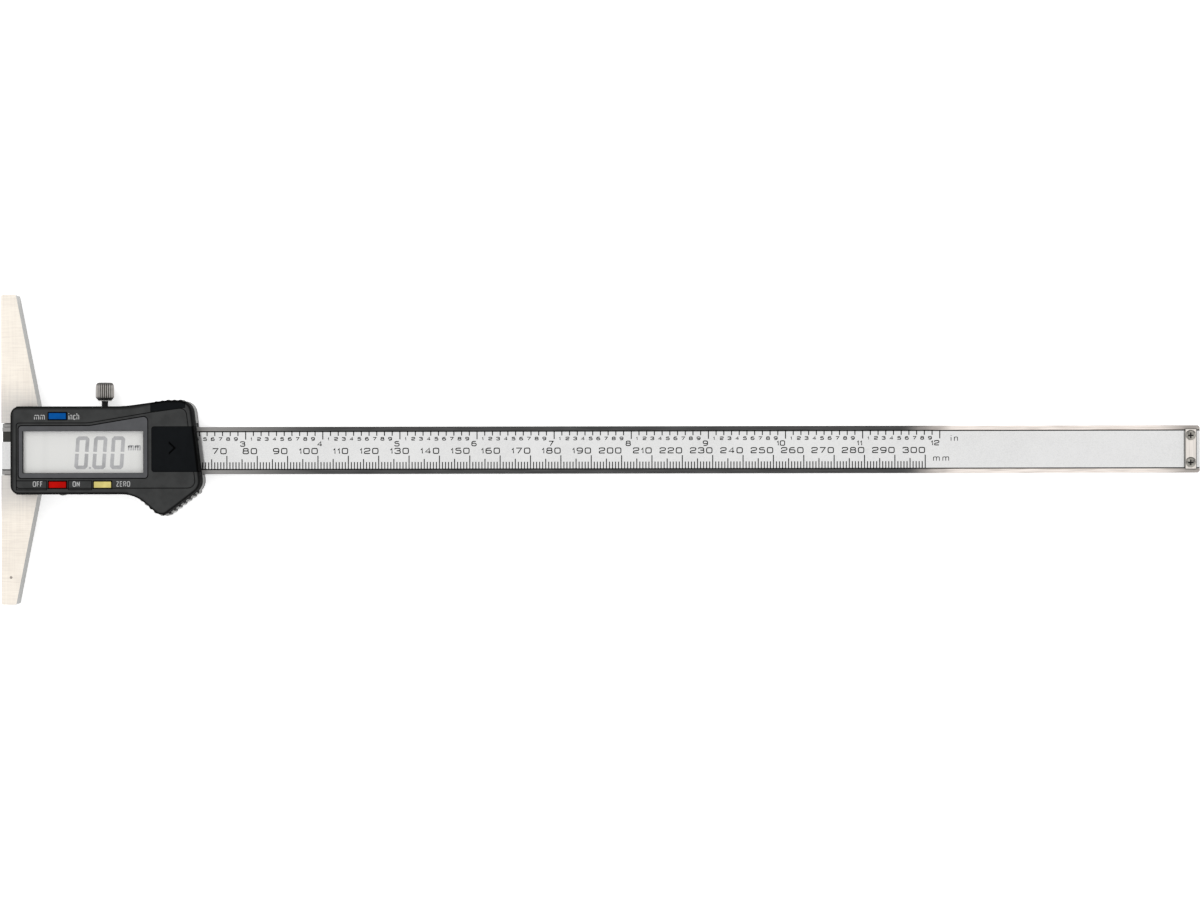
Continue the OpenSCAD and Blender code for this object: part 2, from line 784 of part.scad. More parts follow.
// a frame line of the groove's width round a rectangle on the face
module panel_line(left, low, right, high) {
    difference() {
        block([left, low, face_z - groove_depth], [right, high, face_z + over]);
        block([left + groove_width, low + groove_width, face_z - groove_depth - over],
            [right - groove_width, high - groove_width, face_z + 2 * over]);
    }
}

// hole for a button cap, with a shallow surround
module button_hole(x, y) {
    half = [button_length / 2 + cover_gap, button_width / 2 + cover_gap];
    block([x - half.x, y - half.y, face_inner_z - over], [x + half.x, y + half.y, face_z + over]);
    wide = half + [surround_width, surround_width];
    block([x - wide.x, y - wide.y, face_z - surround_depth], [x + wide.x, y + wide.y, face_z + over]);
}

// everything that is inside the housing: bosses, cross wall, ring for the cell and rails for its cover
module housing_inside() {
    for (s = HOUSING_SCREWS)
        translate([s.x, s.y, frame_top]) cylinder(r = boss_r, h = housing_height - housing_wall + rib_gap);
    block([cover_left - bay_wall_left, body_bottom + housing_wall / 2, frame_top + rib_gap],
        [cover_left + bay_wall_right, port_low - over, face_inner_z - cover_gap]);
    translate([cell_x, bay_y, frame_top + rib_gap])
        cylinder(r = ring_r, h = face_inner_z - cover_gap - frame_top - 3 * rib_gap);
    rail = tongue_width + rail_width;
    for (side = [[cover_low - rail, cover_low + rib_gap], [cover_high - rib_gap, cover_high + rail]])
        block([cover_left, side[0], face_inner_z - rail_drop],
            [body_right - housing_wall / 2, side[1], face_inner_z - cover_gap]);
    for (side = [cover_low - rail, cover_high + tongue_width + cover_gap])
        block([cover_left, side, face_inner_z - rail_drop],
            [body_right - housing_wall / 2, side + rail_width - cover_gap, face_inner_z + rib_gap]);
}

// black housing over the frame
module housing() {
    color([0.2, 0.2, 0.2]) difference() {
        union() {
            difference() {
                housing_block();
                prism(inset(BODY, housing_wall), frame_top - over, face_inner_z);
            }
            intersection() {
                housing_inside();
                prism(inset(BODY, housing_wall / 2), frame_top, face_inner_z + 2 * rib_gap);
            }
        }
        prism(inset(WINDOW, -window_gap), window_z - seat_gap, face_z + over);
        block([window_left + view_margin, window_low + view_margin, face_inner_z - over],
            [window_right - view_margin, window_high - view_margin, face_z]);
        button_hole(button_first_x, button_upper_y);
        button_hole(button_first_x, button_lower_y);
        button_hole(button_second_x, button_lower_y);
        cover_space(cover_gap, face_inner_z - cover_gap);
        difference() {
            cover_space(cover_gap, skirt_z - cover_gap);
            prism(inset(BODY, skirt_thickness + cover_gap), frame_top, face_z);
        }
        cover_tongues(cover_gap);
        port_space(cover_gap, face_inner_z - over);
        difference() {
            port_space(cover_gap, skirt_z - cover_gap);
            prism(inset(BODY, housing_wall + 2 * cover_gap), frame_top, face_z);
        }
        translate([cell_x, bay_y, frame_top - over])
            cylinder(r = cell_r + cell_gap, h = housing_height + over);
        block([cell_x - contact_half - cell_gap, bay_y + cell_r - over, frame_top - over],
            [cell_x + contact_half + cell_gap, bay_y + ring_r + over, face_inner_z - rail_drop - rib_gap]);
        difference() {
            prism(PANEL, face_z - groove_depth, face_z + over);
            prism(inset(PANEL, groove_width), face_z - groove_depth - over, face_z + 2 * over);
        }
        panel_line(window_left - word_line_left / 2, body_bottom + word_line_low,
            button_first_x - word_line_button, window_low - word_line_window);
        panel_line(button_first_x + word_line_button, body_bottom + word_line_low,
            button_second_x - word_line_button, window_low - word_line_window);
        for (s = HOUSING_SCREWS)
            translate([s.x, s.y, 0])
                cylinder(r = housing_shaft_r + seat_gap, h = housing_screw_length + over / 2);
    }
}

// screws that hold the housing, driven from the back
module housing_screws() {
    color("silver") for (s = HOUSING_SCREWS)
        translate([s.x, s.y, 0]) countersunk(housing_head_r, housing_shaft_r, housing_screw_length);
}

// clear window in its recess
module display_window() {
    color([0.33, 0.33, 0.35, 0.5]) prism(WINDOW, window_z, window_z + window_thickness);
}

// display glass under the window
module lcd_panel() {
    color([0.85, 0.85, 0.84]) block([lcd_left, lcd_low, lcd_z], [lcd_right, lcd_high, lcd_z + lcd_thickness]);
}

// plastic holder that carries the display glass over the board
module lcd_holder() {
    color("whitesmoke") difference() {
        block([lcd_left, lcd_low, frame_top], [lcd_right, lcd_high, lcd_z]);
        block([lcd_left + holder_wall, lcd_low + holder_wall, frame_top - over],
            [lcd_right - holder_wall, lcd_high - holder_wall, lcd_z + over]);
    }
}

// rubber strip that joins the display to the board
module zebra_strip() {
    middle = (lcd_left + lcd_right) / 2;
    low = lcd_low + holder_wall + seat_gap;
    color("hotpink") block([middle - zebra_length / 2, low, frame_top],
        [middle + zebra_length / 2, low + zebra_width, lcd_z]);
}

// main board, whose underside senses the scale
module main_board() {
    color("darkgreen") translate([0, 0, board_z]) linear_extrude(board_thickness) board_plan(0);
}

// controller chip under its drop of resin
module controller_chip() {
    middle = [(lcd_left + lcd_right) / 2, (lcd_low + lcd_high) / 2, frame_top];
    color("black") translate(middle) rotate_extrude()
        polygon([[0, 0], [chip_size / 2, 0], [chip_size / 2.3, chip_height * 0.6],
            [chip_size / 3.4, chip_height], [0, chip_height]]);
}

// one rubber dome on a flat foot
module dome(x, y) {
    translate([x, y, frame_top]) rotate_extrude()
        polygon([[0, 0], [dome_foot_r, 0], [dome_top_r, dome_height], [0, dome_height]]);
}

// rubber foot under a row of domes
module keypad_foot(left, right, y) {
    block([left - keypad_reach, y - dome_foot_r, frame_top],
        [right + keypad_reach, y + dome_foot_r, frame_top + keypad_foot_height]);
}

// keypad under the unit button
module keypad_upper() {
    color("lightgray") union() {
        keypad_foot(button_first_x, button_first_x, button_upper_y);
        dome(button_first_x, button_upper_y);
    }
}

// keypad under the power and zero buttons
module keypad_lower() {
    color("lightgray") union() {
        keypad_foot(button_first_x, button_second_x, button_lower_y);
        dome(button_first_x, button_lower_y);
        dome(button_second_x, button_lower_y);
    }
}

// coin cell with its stepped rim
module battery() {
    color("silver") translate([cell_x, bay_y, cell_z]) rotate_extrude()
        polygon([[0, 0], [cell_r - cell_step, 0], [cell_r - cell_step, cell_step_low],
            [cell_r, cell_step_high], [cell_r, cell_height], [0, cell_height]]);
}

// side contact of the cell, standing on the board
module battery_contact_positive() {
    near = bay_y + cell_r + seat_gap;
    color("gold") union() {
        block([cell_x - contact_half, near, frame_top],
            [cell_x + contact_half, near + contact_thickness, cell_z + cell_height - contact_drop]);
        block([cell_x - contact_half, near, frame_top],
            [cell_x + contact_half, near + contact_foot, frame_top + contact_thickness]);
    }
}

// leaf contact under the cell
module battery_contact_negative() {
    t = contact_thickness;
    high = cell_z - frame_top;
    half = [[leaf_top, high - t], [leaf_bend, 0], [leaf_foot, 0], [leaf_foot, t], [leaf_bend + t / 2, t],
        [leaf_top + t / 2, high]];
    color("gold") translate([cell_x, bay_y + leaf_width / 2, frame_top]) rotate([90, 0, 0])
        linear_extrude(leaf_width)
            polygon(concat(half, [for (i = [len(half) - 1 : -1 : 0]) [-half[i].x, half[i].y]]));
}

// gilt contact rows of the data port, on the board's upper edge
module port_contacts() {
    middle = (port_left + port_right) / 2;
    color("gold") union() {
        block([middle - port_half, board_high - port_strip_low, frame_top],
            [middle + port_half, board_high - port_pin_gap, frame_top + port_strip_height]);
        for (i = [-1.5 : 1 : 1.5])
            block([middle + i * port_pin_pitch - port_pin_half, board_high - port_pin_pitch, frame_top],
                [middle + i * port_pin_pitch + port_pin_half, board_high - port_pin_gap,
                    frame_top + port_pin_height]);
    }
}

// knurled lock screw across the upper cheek
module lock_screw() {
    neck_y = body_top - 0.1 - lock_tip_y;
    head_y = body_top + lock_neck_length - lock_tip_y;
    end_y = head_y + lock_head_length;
    step = 180 / lock_knurls;
    knurl = [for (i = [0 : 2 * lock_knurls - 1])
        (lock_head_r - (i % 2) * lock_knurl_depth) * [cos(i * step), sin(i * step)]];
    color("darkgray") translate([lock_x, lock_tip_y, screw_axis_z]) rotate([-90, 0, 0]) union() {
        rotate_extrude() polygon([[0, 0], [lock_thread_r - 0.4, 0], [lock_thread_r, 0.4],
            [lock_thread_r, neck_y], [lock_neck_r, neck_y], [lock_neck_r, head_y + 0.5], [0, head_y + 0.5]]);
        intersection() {
            translate([0, 0, head_y]) linear_extrude(lock_head_length) polygon(knurl);
            rotate_extrude() polygon([[0, head_y], [lock_head_r - lock_chamfer, head_y],
                [lock_head_r + 0.01, head_y + lock_chamfer], [lock_head_r + 0.01, end_y - lock_chamfer * 0.7],
                [lock_head_r - lock_chamfer * 0.7, end_y], [0, end_y]]);
        }
    }
}

// one button: cap, collar under the face and stem down to its dome
module button(x, y) {
    half = [button_length / 2, button_width / 2];
    wide = half + [button_collar, button_collar];
    block([x - half.x, y - half.y, collar_z], [x + half.x, y + half.y, face_z + button_proud]);
    block([x - wide.x, y - wide.y, collar_z], [x + wide.x, y + wide.y, face_inner_z - seat_gap]);
    block([x - stem_half.x, y - stem_half.y, stem_z],
        [x + stem_half.x, y + stem_half.y, collar_z + seat_gap]);
}

// blue button that changes the units
module button_units() {
    color([0.04, 0.36, 0.67]) union() button(button_first_x, button_upper_y);
}

// red button for on and off
module button_power() {
    color([0.75, 0.06, 0.03]) union() button(button_first_x, button_lower_y);
}

// yellow button that sets zero
module button_zero() {
    color([0.85, 0.8, 0.45]) union() button(button_second_x, button_lower_y);
}

// arrow sunk into the battery cover
module cover_arrow() {
    tip = [cover_left + arrow_x, bay_y + arrow_rise];
    inner = arrow_half - arrow_band;
    prism([tip, tip + [-arrow_length, arrow_half], tip + [-arrow_length, inner],
        tip + [-arrow_length * arrow_band / arrow_half, 0], tip + [-arrow_length, -inner],
        tip + [-arrow_length, -arrow_half]], face_z - arrow_depth, face_z + over);
}

// sliding cover of the battery bay, turned down over the right side
module battery_cover() {
    color([0.08, 0.08, 0.09]) difference() {
        intersection() {
            housing_block();
            union() {
                cover_space(0, face_inner_z);
                difference() {
                    cover_space(0, skirt_z);
                    prism(inset(BODY, skirt_thickness), frame_top, face_z);
                }
                cover_tongues(0);
            }
        }
        cover_arrow();
    }
}

// cover of the data port, turned down over the crown
module port_cover() {
    color([0.08, 0.08, 0.09]) intersection() {
        housing_block();
        union() {
            port_space(0, face_inner_z);
            difference() {
                port_space(0, skirt_z);
                prism(inset(BODY, housing_wall + cover_gap), frame_top, face_z);
            }
        }
    }
}

// plan of the scale in its recess, from a start along the beam, notched at the tip
module scale_plan() {
    half = recess_half - scale_gap;
    polygon([[0, beam_y - half], [beam_length, beam_y - half], [beam_length, beam_y + half],
        [tip_bare, beam_y + half], [tip_bare, beam_y + tip_step], [0, beam_y + tip_step]]);
}

// steel beam with its scale recess
module beam() {
    color("silver") difference() {
        prism([
            [0, beam_low], [beam_length - beam_chamfer, beam_low], [beam_length, beam_low + beam_chamfer],
            [beam_length, beam_high - beam_chamfer], [beam_length - beam_chamfer, beam_high], [0, beam_high]],
            beam_z, beam_top_z);
        block([-over, beam_y - recess_half, recess_z],
            [beam_length + over, beam_y + recess_half, beam_top_z + over]);
        block([-over, beam_y + tip_step, beam_z - over], [tip_setback, beam_high + over, beam_top_z + over]);
        stop_holes();
    }
}

// the two holes for the stop screws, down from the top
module stop_holes() {
    for (side = [-1, 1])
        translate([stop_screw_x, beam_y + side * stop_screw_pitch / 2, beam_top_z + stop_thickness])
            rotate([180, 0, 0]) countersink(stop_head_r, stop_shaft_r, stop_screw_length);
}

// scale board in the recess
module scale_board() {
    color("darkgreen") difference() {
        translate([0, 0, recess_z]) linear_extrude(scale_board_thickness) scale_plan();
        stop_holes();
    }
}

// printed label over the scale board
module scale_label() {
    color("gainsboro") difference() {
        translate([0, 0, label_z]) linear_extrude(label_thickness) scale_plan();
        stop_holes();
    }
}

// plate on the beam's end that stops the slider
module stop_plate() {
    low = beam_y - stop_width / 2;
    high = beam_y + stop_width / 2;
    color("silver") difference() {
        prism([
            [stop_x + stop_chamfer, low], [stop_x + stop_length, low], [stop_x + stop_length, high],
            [stop_x + stop_chamfer, high], [stop_x, high - stop_chamfer], [stop_x, low + stop_chamfer]],
            beam_top_z, beam_top_z + stop_thickness);
        stop_holes();
    }
}

// screws that hold the stop plate
module stop_screws() {
    color("silver") for (side = [-1, 1])
        translate([stop_screw_x, beam_y + side * stop_screw_pitch / 2, beam_top_z + stop_thickness])
            rotate([180, 0, 0]) countersunk(stop_head_r, stop_shaft_r, stop_screw_length);
}

base();
base_screws();
slider_frame();
gib_strip();
gib_screws();
housing();
housing_screws();
display_window();
lcd_panel();
lcd_holder();
zebra_strip();
main_board();
controller_chip();
keypad_upper();
keypad_lower();
battery();
battery_contact_positive();
battery_contact_negative();
port_contacts();
lock_screw();
button_units();
button_power();
button_zero();
battery_cover();
port_cover();
beam();
scale_board();
scale_label();
stop_plate();
stop_screws();
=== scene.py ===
"""Digital depth gauge on a pale floor: finishes, printing and light around the fixed model."""

import json
import logging
import math
from dataclasses import dataclass, field
from enum import Enum

import bmesh
import bpy
import numpy as np
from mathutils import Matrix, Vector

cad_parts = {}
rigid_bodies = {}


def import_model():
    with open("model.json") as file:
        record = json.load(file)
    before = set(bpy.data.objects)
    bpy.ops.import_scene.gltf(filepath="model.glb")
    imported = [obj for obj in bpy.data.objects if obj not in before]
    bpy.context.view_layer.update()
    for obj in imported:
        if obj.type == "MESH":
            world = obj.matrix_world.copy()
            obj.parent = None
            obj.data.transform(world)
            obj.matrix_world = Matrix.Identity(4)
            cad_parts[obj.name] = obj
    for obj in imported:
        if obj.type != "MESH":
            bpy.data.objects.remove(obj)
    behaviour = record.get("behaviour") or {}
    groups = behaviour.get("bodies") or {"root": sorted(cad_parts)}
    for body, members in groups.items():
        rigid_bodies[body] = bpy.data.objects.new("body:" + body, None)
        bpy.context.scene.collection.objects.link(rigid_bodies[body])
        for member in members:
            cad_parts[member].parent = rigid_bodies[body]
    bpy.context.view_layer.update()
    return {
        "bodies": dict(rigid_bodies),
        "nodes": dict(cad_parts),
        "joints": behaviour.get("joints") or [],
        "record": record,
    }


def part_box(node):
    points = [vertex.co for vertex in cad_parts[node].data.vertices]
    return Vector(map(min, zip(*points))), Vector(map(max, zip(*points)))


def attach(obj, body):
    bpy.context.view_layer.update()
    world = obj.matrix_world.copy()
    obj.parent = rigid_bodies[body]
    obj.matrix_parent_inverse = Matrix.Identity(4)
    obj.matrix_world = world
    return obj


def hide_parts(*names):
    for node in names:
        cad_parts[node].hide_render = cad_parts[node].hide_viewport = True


LOG = logging.getLogger("depth_gauge")
MM = 0.001
WHITE = (1.0, 1.0, 1.0, 1.0)
# thickness of everything printed, in millimetres
PRINT_MM = 0.012
# a copied node's points closer than this are made one
WELD_MM = 0.0004
# a copied node's faces that meet at less than this are made one
FLAT_DEG = 0.6
# edges flatter than this are shaded round
SMOOTH_DEG = 32
# edges sharper than this get a round of so many faces
ROUND_DEG = 35
ROUND_FACES = 2

Point = tuple[float, float]
Span = tuple[float, float]
Rectangle = tuple[float, float, float, float]
Colour = tuple[float, float, float]
Material = bpy.types.Material
Socket = bpy.types.NodeSocket
Number = "float | Value"
Geometry = tuple[np.ndarray, np.ndarray]


def grey(level: float) -> Colour:
    """Give a colour without a hue."""
    return level, level, level


class Lay(Enum):
    """Direction of the grinding lines, as how fast the pattern changes along X, Y and Z."""

    ALONG_BEAM = (0.03, 1.0, 1.0)
    ACROSS_BASE = (0.05, 1.0, 1.0)
    ALONG_BASE = (1.0, 0.04, 1.0)
    NONE = (1.0, 1.0, 1.0)


class Align(Enum):
    """Which part of a word its place names, as the share of the word's width to its left."""

    LEFT = 0.0
    CENTRE = 0.5
    RIGHT = 1.0


class Value:
    """A number that varies over a surface, held by a shader socket, for use in plain sums."""

    def __init__(self, nodes: "Nodes", socket: Socket) -> None:
        """Keep the socket and the tree that it belongs to."""
        self.nodes = nodes
        self.socket = socket

    def sum(self, operation: str, *others: Number, first: bool = True) -> "Value":
        """Join this value and others in a Math node.

        Args:
            operation: the Math node's operation.
            others: the other values.
            first: whether this value comes before the others.

        Returns:
            The result.
        """
        values = [self, *others] if first else [*others, self]
        node = self.nodes.node("ShaderNodeMath", {"operation": operation}, values)
        return Value(self.nodes, node.outputs[0])

    def __add__(self, other: Number) -> "Value":
        """Add."""
        return self.sum("ADD", other)

    def __sub__(self, other: Number) -> "Value":
        """Subtract a value from this one."""
        return self.sum("SUBTRACT", other)

    def __rsub__(self, other: Number) -> "Value":
        """Subtract this value from another."""
        return self.sum("SUBTRACT", other, first=False)

    def __mul__(self, other: Number) -> "Value":
        """Multiply."""
        return self.sum("MULTIPLY", other)

    def absolute(self) -> "Value":
        """Drop the sign."""
        return self.sum("ABSOLUTE")

    def larger(self, other: Number) -> "Value":
        """Give the larger of this value and another."""
        return self.sum("MAXIMUM", other)

    def hypot(self, other: "Value") -> "Value":
        """Give the distance whose two parts, square to each other, are this value and another."""
        return (self * self + other * other).sum("SQRT")

    def over(self, edge: Number) -> "Value":
        """One where this value is larger than the edge, else nothing."""
        return self.sum("GREATER_THAN", edge)

    def below(self, edge: Number) -> "Value":
        """One where this value is smaller than the edge, else nothing."""
        return self.sum("LESS_THAN", edge)

    def between(self, low: Number, high: Number) -> "Value":
        """One where this value lies between two edges, else nothing."""
        return self.over(low) * self.below(high)

    def ramp(self, low: float, high: float) -> "Value":
        """Rise smoothly from nothing at low to one at high.

        Args:
            low: the value at which the rise starts; it may be the larger one.
            high: the value at which it ends.

        Returns:
            The share.
        """
        inputs = {"Value": self, "From Min": low, "From Max": high}
        node = self.nodes.node("ShaderNodeMapRange", {"interpolation_type": "SMOOTHSTEP"}, inputs)
        return Value(self.nodes, node.outputs[0])


class Nodes:
    """A node tree and what adds to it."""

    def __init__(self, tree: bpy.types.NodeTree) -> None:
        """Start with the tree emptied."""
        self.tree = tree
        self.tree.nodes.clear()

    def node(self, kind: str, settings: dict, inputs: "dict | list") -> bpy.types.Node:
        """Add one node.

        Args:
            kind: the node's type.
            settings: attributes, set first.
            inputs: values or links of its sockets, by name or in order.

        Returns:
            The node.
        """
        made = self.tree.nodes.new(kind)
        for key, value in settings.items():
            setattr(made, key, value)
        pairs = inputs.items() if isinstance(inputs, dict) else enumerate(inputs)
        for key, value in pairs:
            source = value.socket if isinstance(value, Value) else value
            if isinstance(source, Socket):
                self.tree.links.new(source, made.inputs[key])
            else:
                made.inputs[key].default_value = source
        return made

    def seen(self) -> Value:
        """Give one for camera, glossy and transmission rays, and nothing for the rest.

        Returns:
            The value.
        """
        rays = self.node("ShaderNodeLightPath", {}, {}).outputs
        seen = Value(self, rays["Is Camera Ray"])
        for name in ("Is Glossy Ray", "Is Transmission Ray"):
            seen = seen.larger(Value(self, rays[name]))
        return seen


class Graph(Nodes):
    """The node tree of one material, with the few builders that the finishes share."""

    def __init__(self, name: str) -> None:
        """Start an empty material.

        Args:
            name: the material's name.
        """
        self.material = bpy.data.materials.new(name)
        self.material.use_nodes = True
        super().__init__(self.material.node_tree)
        self.where = self.node("ShaderNodeTexCoord", {}, {}).outputs["Object"]

    def place(self) -> tuple[Value, Value, Value]:
        """Give the point on the surface in millimetres, as its X, Y and Z.

        Returns:
            The three values.
        """
        parts = self.node("ShaderNodeSeparateXYZ", {}, [self.where]).outputs
        x, y, z = (Value(self, part) * (1 / MM) for part in parts)
        return x, y, z

    def noise(self, per_mm: float, lay: Lay = Lay.NONE, detail: float = 3.0) -> Value:
        """Give smooth random values around one half.

        Args:
            per_mm: how many waves a millimetre holds across the lay.
            lay: direction in which the pattern is drawn out.
            detail: how many finer layers are added.

        Returns:
            The value.
        """
        scale = tuple(per_mm / MM * share for share in lay.value)
        point = self.node("ShaderNodeVectorMath", {"operation": "MULTIPLY"}, [self.where, scale])
        inputs = {"Vector": point.outputs[0], "Scale": 1.0, "Detail": detail, "Roughness": 0.55}
        made = self.node("ShaderNodeTexNoise", {"noise_dimensions": "3D"}, inputs)
        return Value(self, made.outputs[0])

    def mix(self, share: Number, first: "Colour | Socket", second: "Colour | Socket") -> Socket:
        """Blend two colours by a share and give the colour's socket.

        Args:
            share: nothing for the first colour and one for the second.
            first: a colour.
            second: the other colour.

        Returns:
            The colour's socket.
        """
        ends = [(*end, 1.0) if isinstance(end, tuple) else end for end in (first, second)]
        made = self.node("ShaderNodeMix", {"data_type": "RGBA"}, {0: share, 6: ends[0], 7: ends[1]})
        return made.outputs[2]

    def sunk(self, top: "Colour | Socket", floor: Colour, heights: Span) -> Socket:
        """Run from one colour to another between two heights, so that what lies lower is darker; the
        finishes use it to paint shade into grooves and onto sides.

        Args:
            top: the colour above.
            floor: the colour below.
            heights: the heights in millimetres at which the change starts and ends.

        Returns:
            The colour's socket.
        """
        _, _, z = self.place()
        return self.mix(z.ramp(*heights), top, floor)

    def seen_from_above(self) -> Value:
        """Give one on the front of a surface and nothing on its back."""
        return 1.0 - Value(self, self.node("ShaderNodeNewGeometry", {}, {}).outputs["Backfacing"])

    def bump(self, height: Value, depth_mm: float) -> Socket:
        """Turn a height between nothing and one into a bent normal of the given depth."""
        inputs = {"Height": height, "Distance": depth_mm * MM, "Strength": 1.0}
        return self.node("ShaderNodeBump", {}, inputs).outputs[0]

    def finish(self, inputs: dict) -> Material:
        """Close the tree with one Principled shader and give the material.

        Args:
            inputs: values or links of the shader's sockets, by name.

        Returns:
            The material.
        """
        shader = self.node("ShaderNodeBsdfPrincipled", {}, inputs)
        self.node("ShaderNodeOutputMaterial", {}, [shader.outputs[0]])
        return self.material


@dataclass(frozen=True)
class GroundSteel:
    """Ground or brushed steel, with lines along one direction and soft stains.

    Lines and stains together wear the surface from its colour to its shade, and make it duller.
    """

    name: str
    colour: Colour
    shade: Colour
    lay: Lay = Lay.NONE
    lines_per_mm: float = 3.0
    roughness: float = 0.34
    depth_mm: float = 0.004
    metallic: float = 0.9
    specular: float = 0.5
    # painted shade: the colour that whatever lies below the given heights runs to
    floor: Colour | None = None
    floor_z: Span = (0.0, 0.0)
    line_share: float = 0.7
    stain_share: float = 0.5
    worn: Span = (0.42, 0.86)
    stains_per_mm: float = 0.09
    line_dull: float = 0.16
    stain_dull: float = 0.12

    def wear(self, lines: Value, stains: Value) -> Value:
        """Give how far the surface is worn."""
        return (lines * self.line_share + stains * self.stain_share).ramp(*self.worn)

    def tint(self, graph: Graph, lines: Value, stains: Value) -> Socket:
        """Blend colour and shade by the wear, and paint shade on what lies deep."""
        pale = graph.mix(self.wear(lines, stains), self.colour, self.shade)
        return graph.sunk(pale, self.floor, self.floor_z) if self.floor else pale

    def shine(self, graph: Graph) -> Number:
        """Give how metallic the surface is."""
        return self.metallic

    def build(self) -> Material:
        """Make the material: the lines tint it, roughen it and bend its normal.

        Returns:
            The material.
        """
        graph = Graph(self.name)
        lines = graph.noise(self.lines_per_mm, self.lay)
        stains = graph.noise(self.stains_per_mm, detail=4.0)
        least = self.roughness - (self.line_dull + self.stain_dull) / 2
        return graph.finish({
            "Base Color": self.tint(graph, lines, stains),
            "Metallic": self.shine(graph),
            "Roughness": lines * self.line_dull + stains * self.stain_dull + least,
            "Normal": graph.bump(lines, self.depth_mm),
            "Specular IOR Level": self.specular,
        })


@dataclass(frozen=True)
class BaseSteel(GroundSteel):
    """The base's steel: pale and warm, with the housing's dark reflection and shade painted beside the
    slider, a crossing lay, one dark speck, and painted shade on its edge rounds and sides.
    """

    line_share: float = 0.5
    cross_share: float = 0.3
    stain_share: float = 0.4
    worn: Span = (0.45, 0.85)
    cross_per_mm: float = 1.6
    streaks_per_mm: float = 2.0
    # painted dark reflection and shade of the housing beside the slider, varied by the streaks and the
    # crossing lay
    dull: Colour = (0.6, 0.58, 0.56)
    dull_y: Span = (25.0, 12.0)
    dull_least: float = 0.3
    dull_by_streaks: float = 0.6
    dull_by_cross: float = 0.5
    wander: float = 8.0
    speck: Point = (3.2, -42.0)
    speck_r: float = 0.45
    speck_share: float = 0.7
    speck_colour: Colour = (0.12, 0.1, 0.09)
    # painted shade on the rounded top edges and on the sides
    edge: Colour = grey(0.1)
    edge_z: Span = (7.47, 7.34)
    side: Colour = (0.3, 0.3, 0.29)
    side_z: Span = (7.28, 6.9)

    def tint(self, graph: Graph, lines: Value, stains: Value) -> Socket:
        """Shade the colour with the lines, then paint the housing's dark reflection and shade near the
        slider, set the speck, and paint shade on the edge rounds and the sides.

        Args:
            graph: the material's node tree.
            lines: the grinding lines.
            stains: the stains.

        Returns:
            The colour's socket.
        """
        x, y, _ = graph.place()
        cross = graph.noise(self.cross_per_mm, Lay.ALONG_BASE)
        streaks = graph.noise(self.streaks_per_mm, Lay.ACROSS_BASE, 4.0)
        share = lines * self.line_share + cross * self.cross_share + stains * self.stain_share
        pale = graph.mix(share.ramp(*self.worn), self.colour, self.shade)
        # painted dark reflection and shade of the housing near the slider
        near = (y.absolute() + (stains - 0.5) * self.wander).ramp(*self.dull_y)
        reflection_share = streaks * self.dull_by_streaks + cross * self.dull_by_cross + self.dull_least
        reflected = graph.mix(near * reflection_share, pale, self.dull)
        speck = (x - self.speck[0]).hypot(y - self.speck[1]).below(self.speck_r)
        marked = graph.mix(speck * self.speck_share, reflected, self.speck_colour)
        # painted shade on the edge rounds, then on the sides
        return graph.sunk(graph.sunk(marked, self.edge, self.edge_z), self.side, self.side_z)


@dataclass(frozen=True)
class BeamSteel(GroundSteel):
    """The beam's steel, with painted reflections: grey near the slider, dark along its middle, pale and warm
    towards the stop plate.
    """

    line_share: float = 0.8
    stain_share: float = 0.3
    worn: Span = (0.35, 0.8)
    # painted reflections along the rims: grey near the slider, pale and warm towards the stop plate, and
    # painted shade just before the plate
    soft: Colour = (0.4, 0.39, 0.38)
    soft_x: Span = (112.0, 55.0)
    soft_share: float = 0.85
    bright: Colour = (0.97, 0.89, 0.83)
    bright_shade: Colour = (0.62, 0.55, 0.5)
    bright_line_share: float = 0.9
    bright_worn: Span = (0.3, 0.7)
    bright_x: Span = (296.0, 317.0)
    wander: float = 14.0
    end_x: Span = (378.0, 392.0)
    end_share: float = 0.55
    # painted light: the flanks are painted a paler grey than the top, and the hollow between the rims gets
    # painted shade
    side: Colour = (0.4, 0.39, 0.38)
    side_shade: Colour = (0.26, 0.255, 0.25)
    side_z: Span = (6.05, 5.75)
    recess: Colour = (0.055, 0.054, 0.05)
    recess_z: Span = (5.1, 5.9)
    middle_y: float = -0.4
    inner_half: float = 7.5

    def tint(self, graph: Graph, lines: Value, stains: Value) -> Socket:
        """Paint the reflections from grey at the slider through dark to pale and warm at the stop plate,
        paint the flanks paler, and paint shade in the hollow between the rims.

        Args:
            graph: the material's node tree.
            lines: the grinding lines.
            stains: the stains.

        Returns:
            The colour's socket.
        """
        x, y, z = graph.place()
        wear = self.wear(lines, stains)
        # painted dark reflection along the middle, mixed with the wear
        dull = graph.mix(wear, self.colour, self.shade)
        soft = graph.mix(x.ramp(*self.soft_x) * self.soft_share, dull, self.soft)
        warm_wear = (lines * self.bright_line_share).ramp(*self.bright_worn)
        warm = graph.mix(warm_wear, self.bright, self.bright_shade)
        warm = graph.mix(x.ramp(*self.end_x) * self.end_share, warm, self.shade)
        whole = graph.mix((x + (stains - 0.5) * self.wander).ramp(*self.bright_x), soft, warm)
        # painted paler flanks, then painted shade in the hollow between the rims
        flank = graph.mix(wear, self.side, self.side_shade)
        whole = graph.mix(z.ramp(*self.side_z), whole, flank)
        within = (y - self.middle_y).absolute().below(self.inner_half)
        return graph.mix(z.between(*self.recess_z) * within, whole, self.recess)


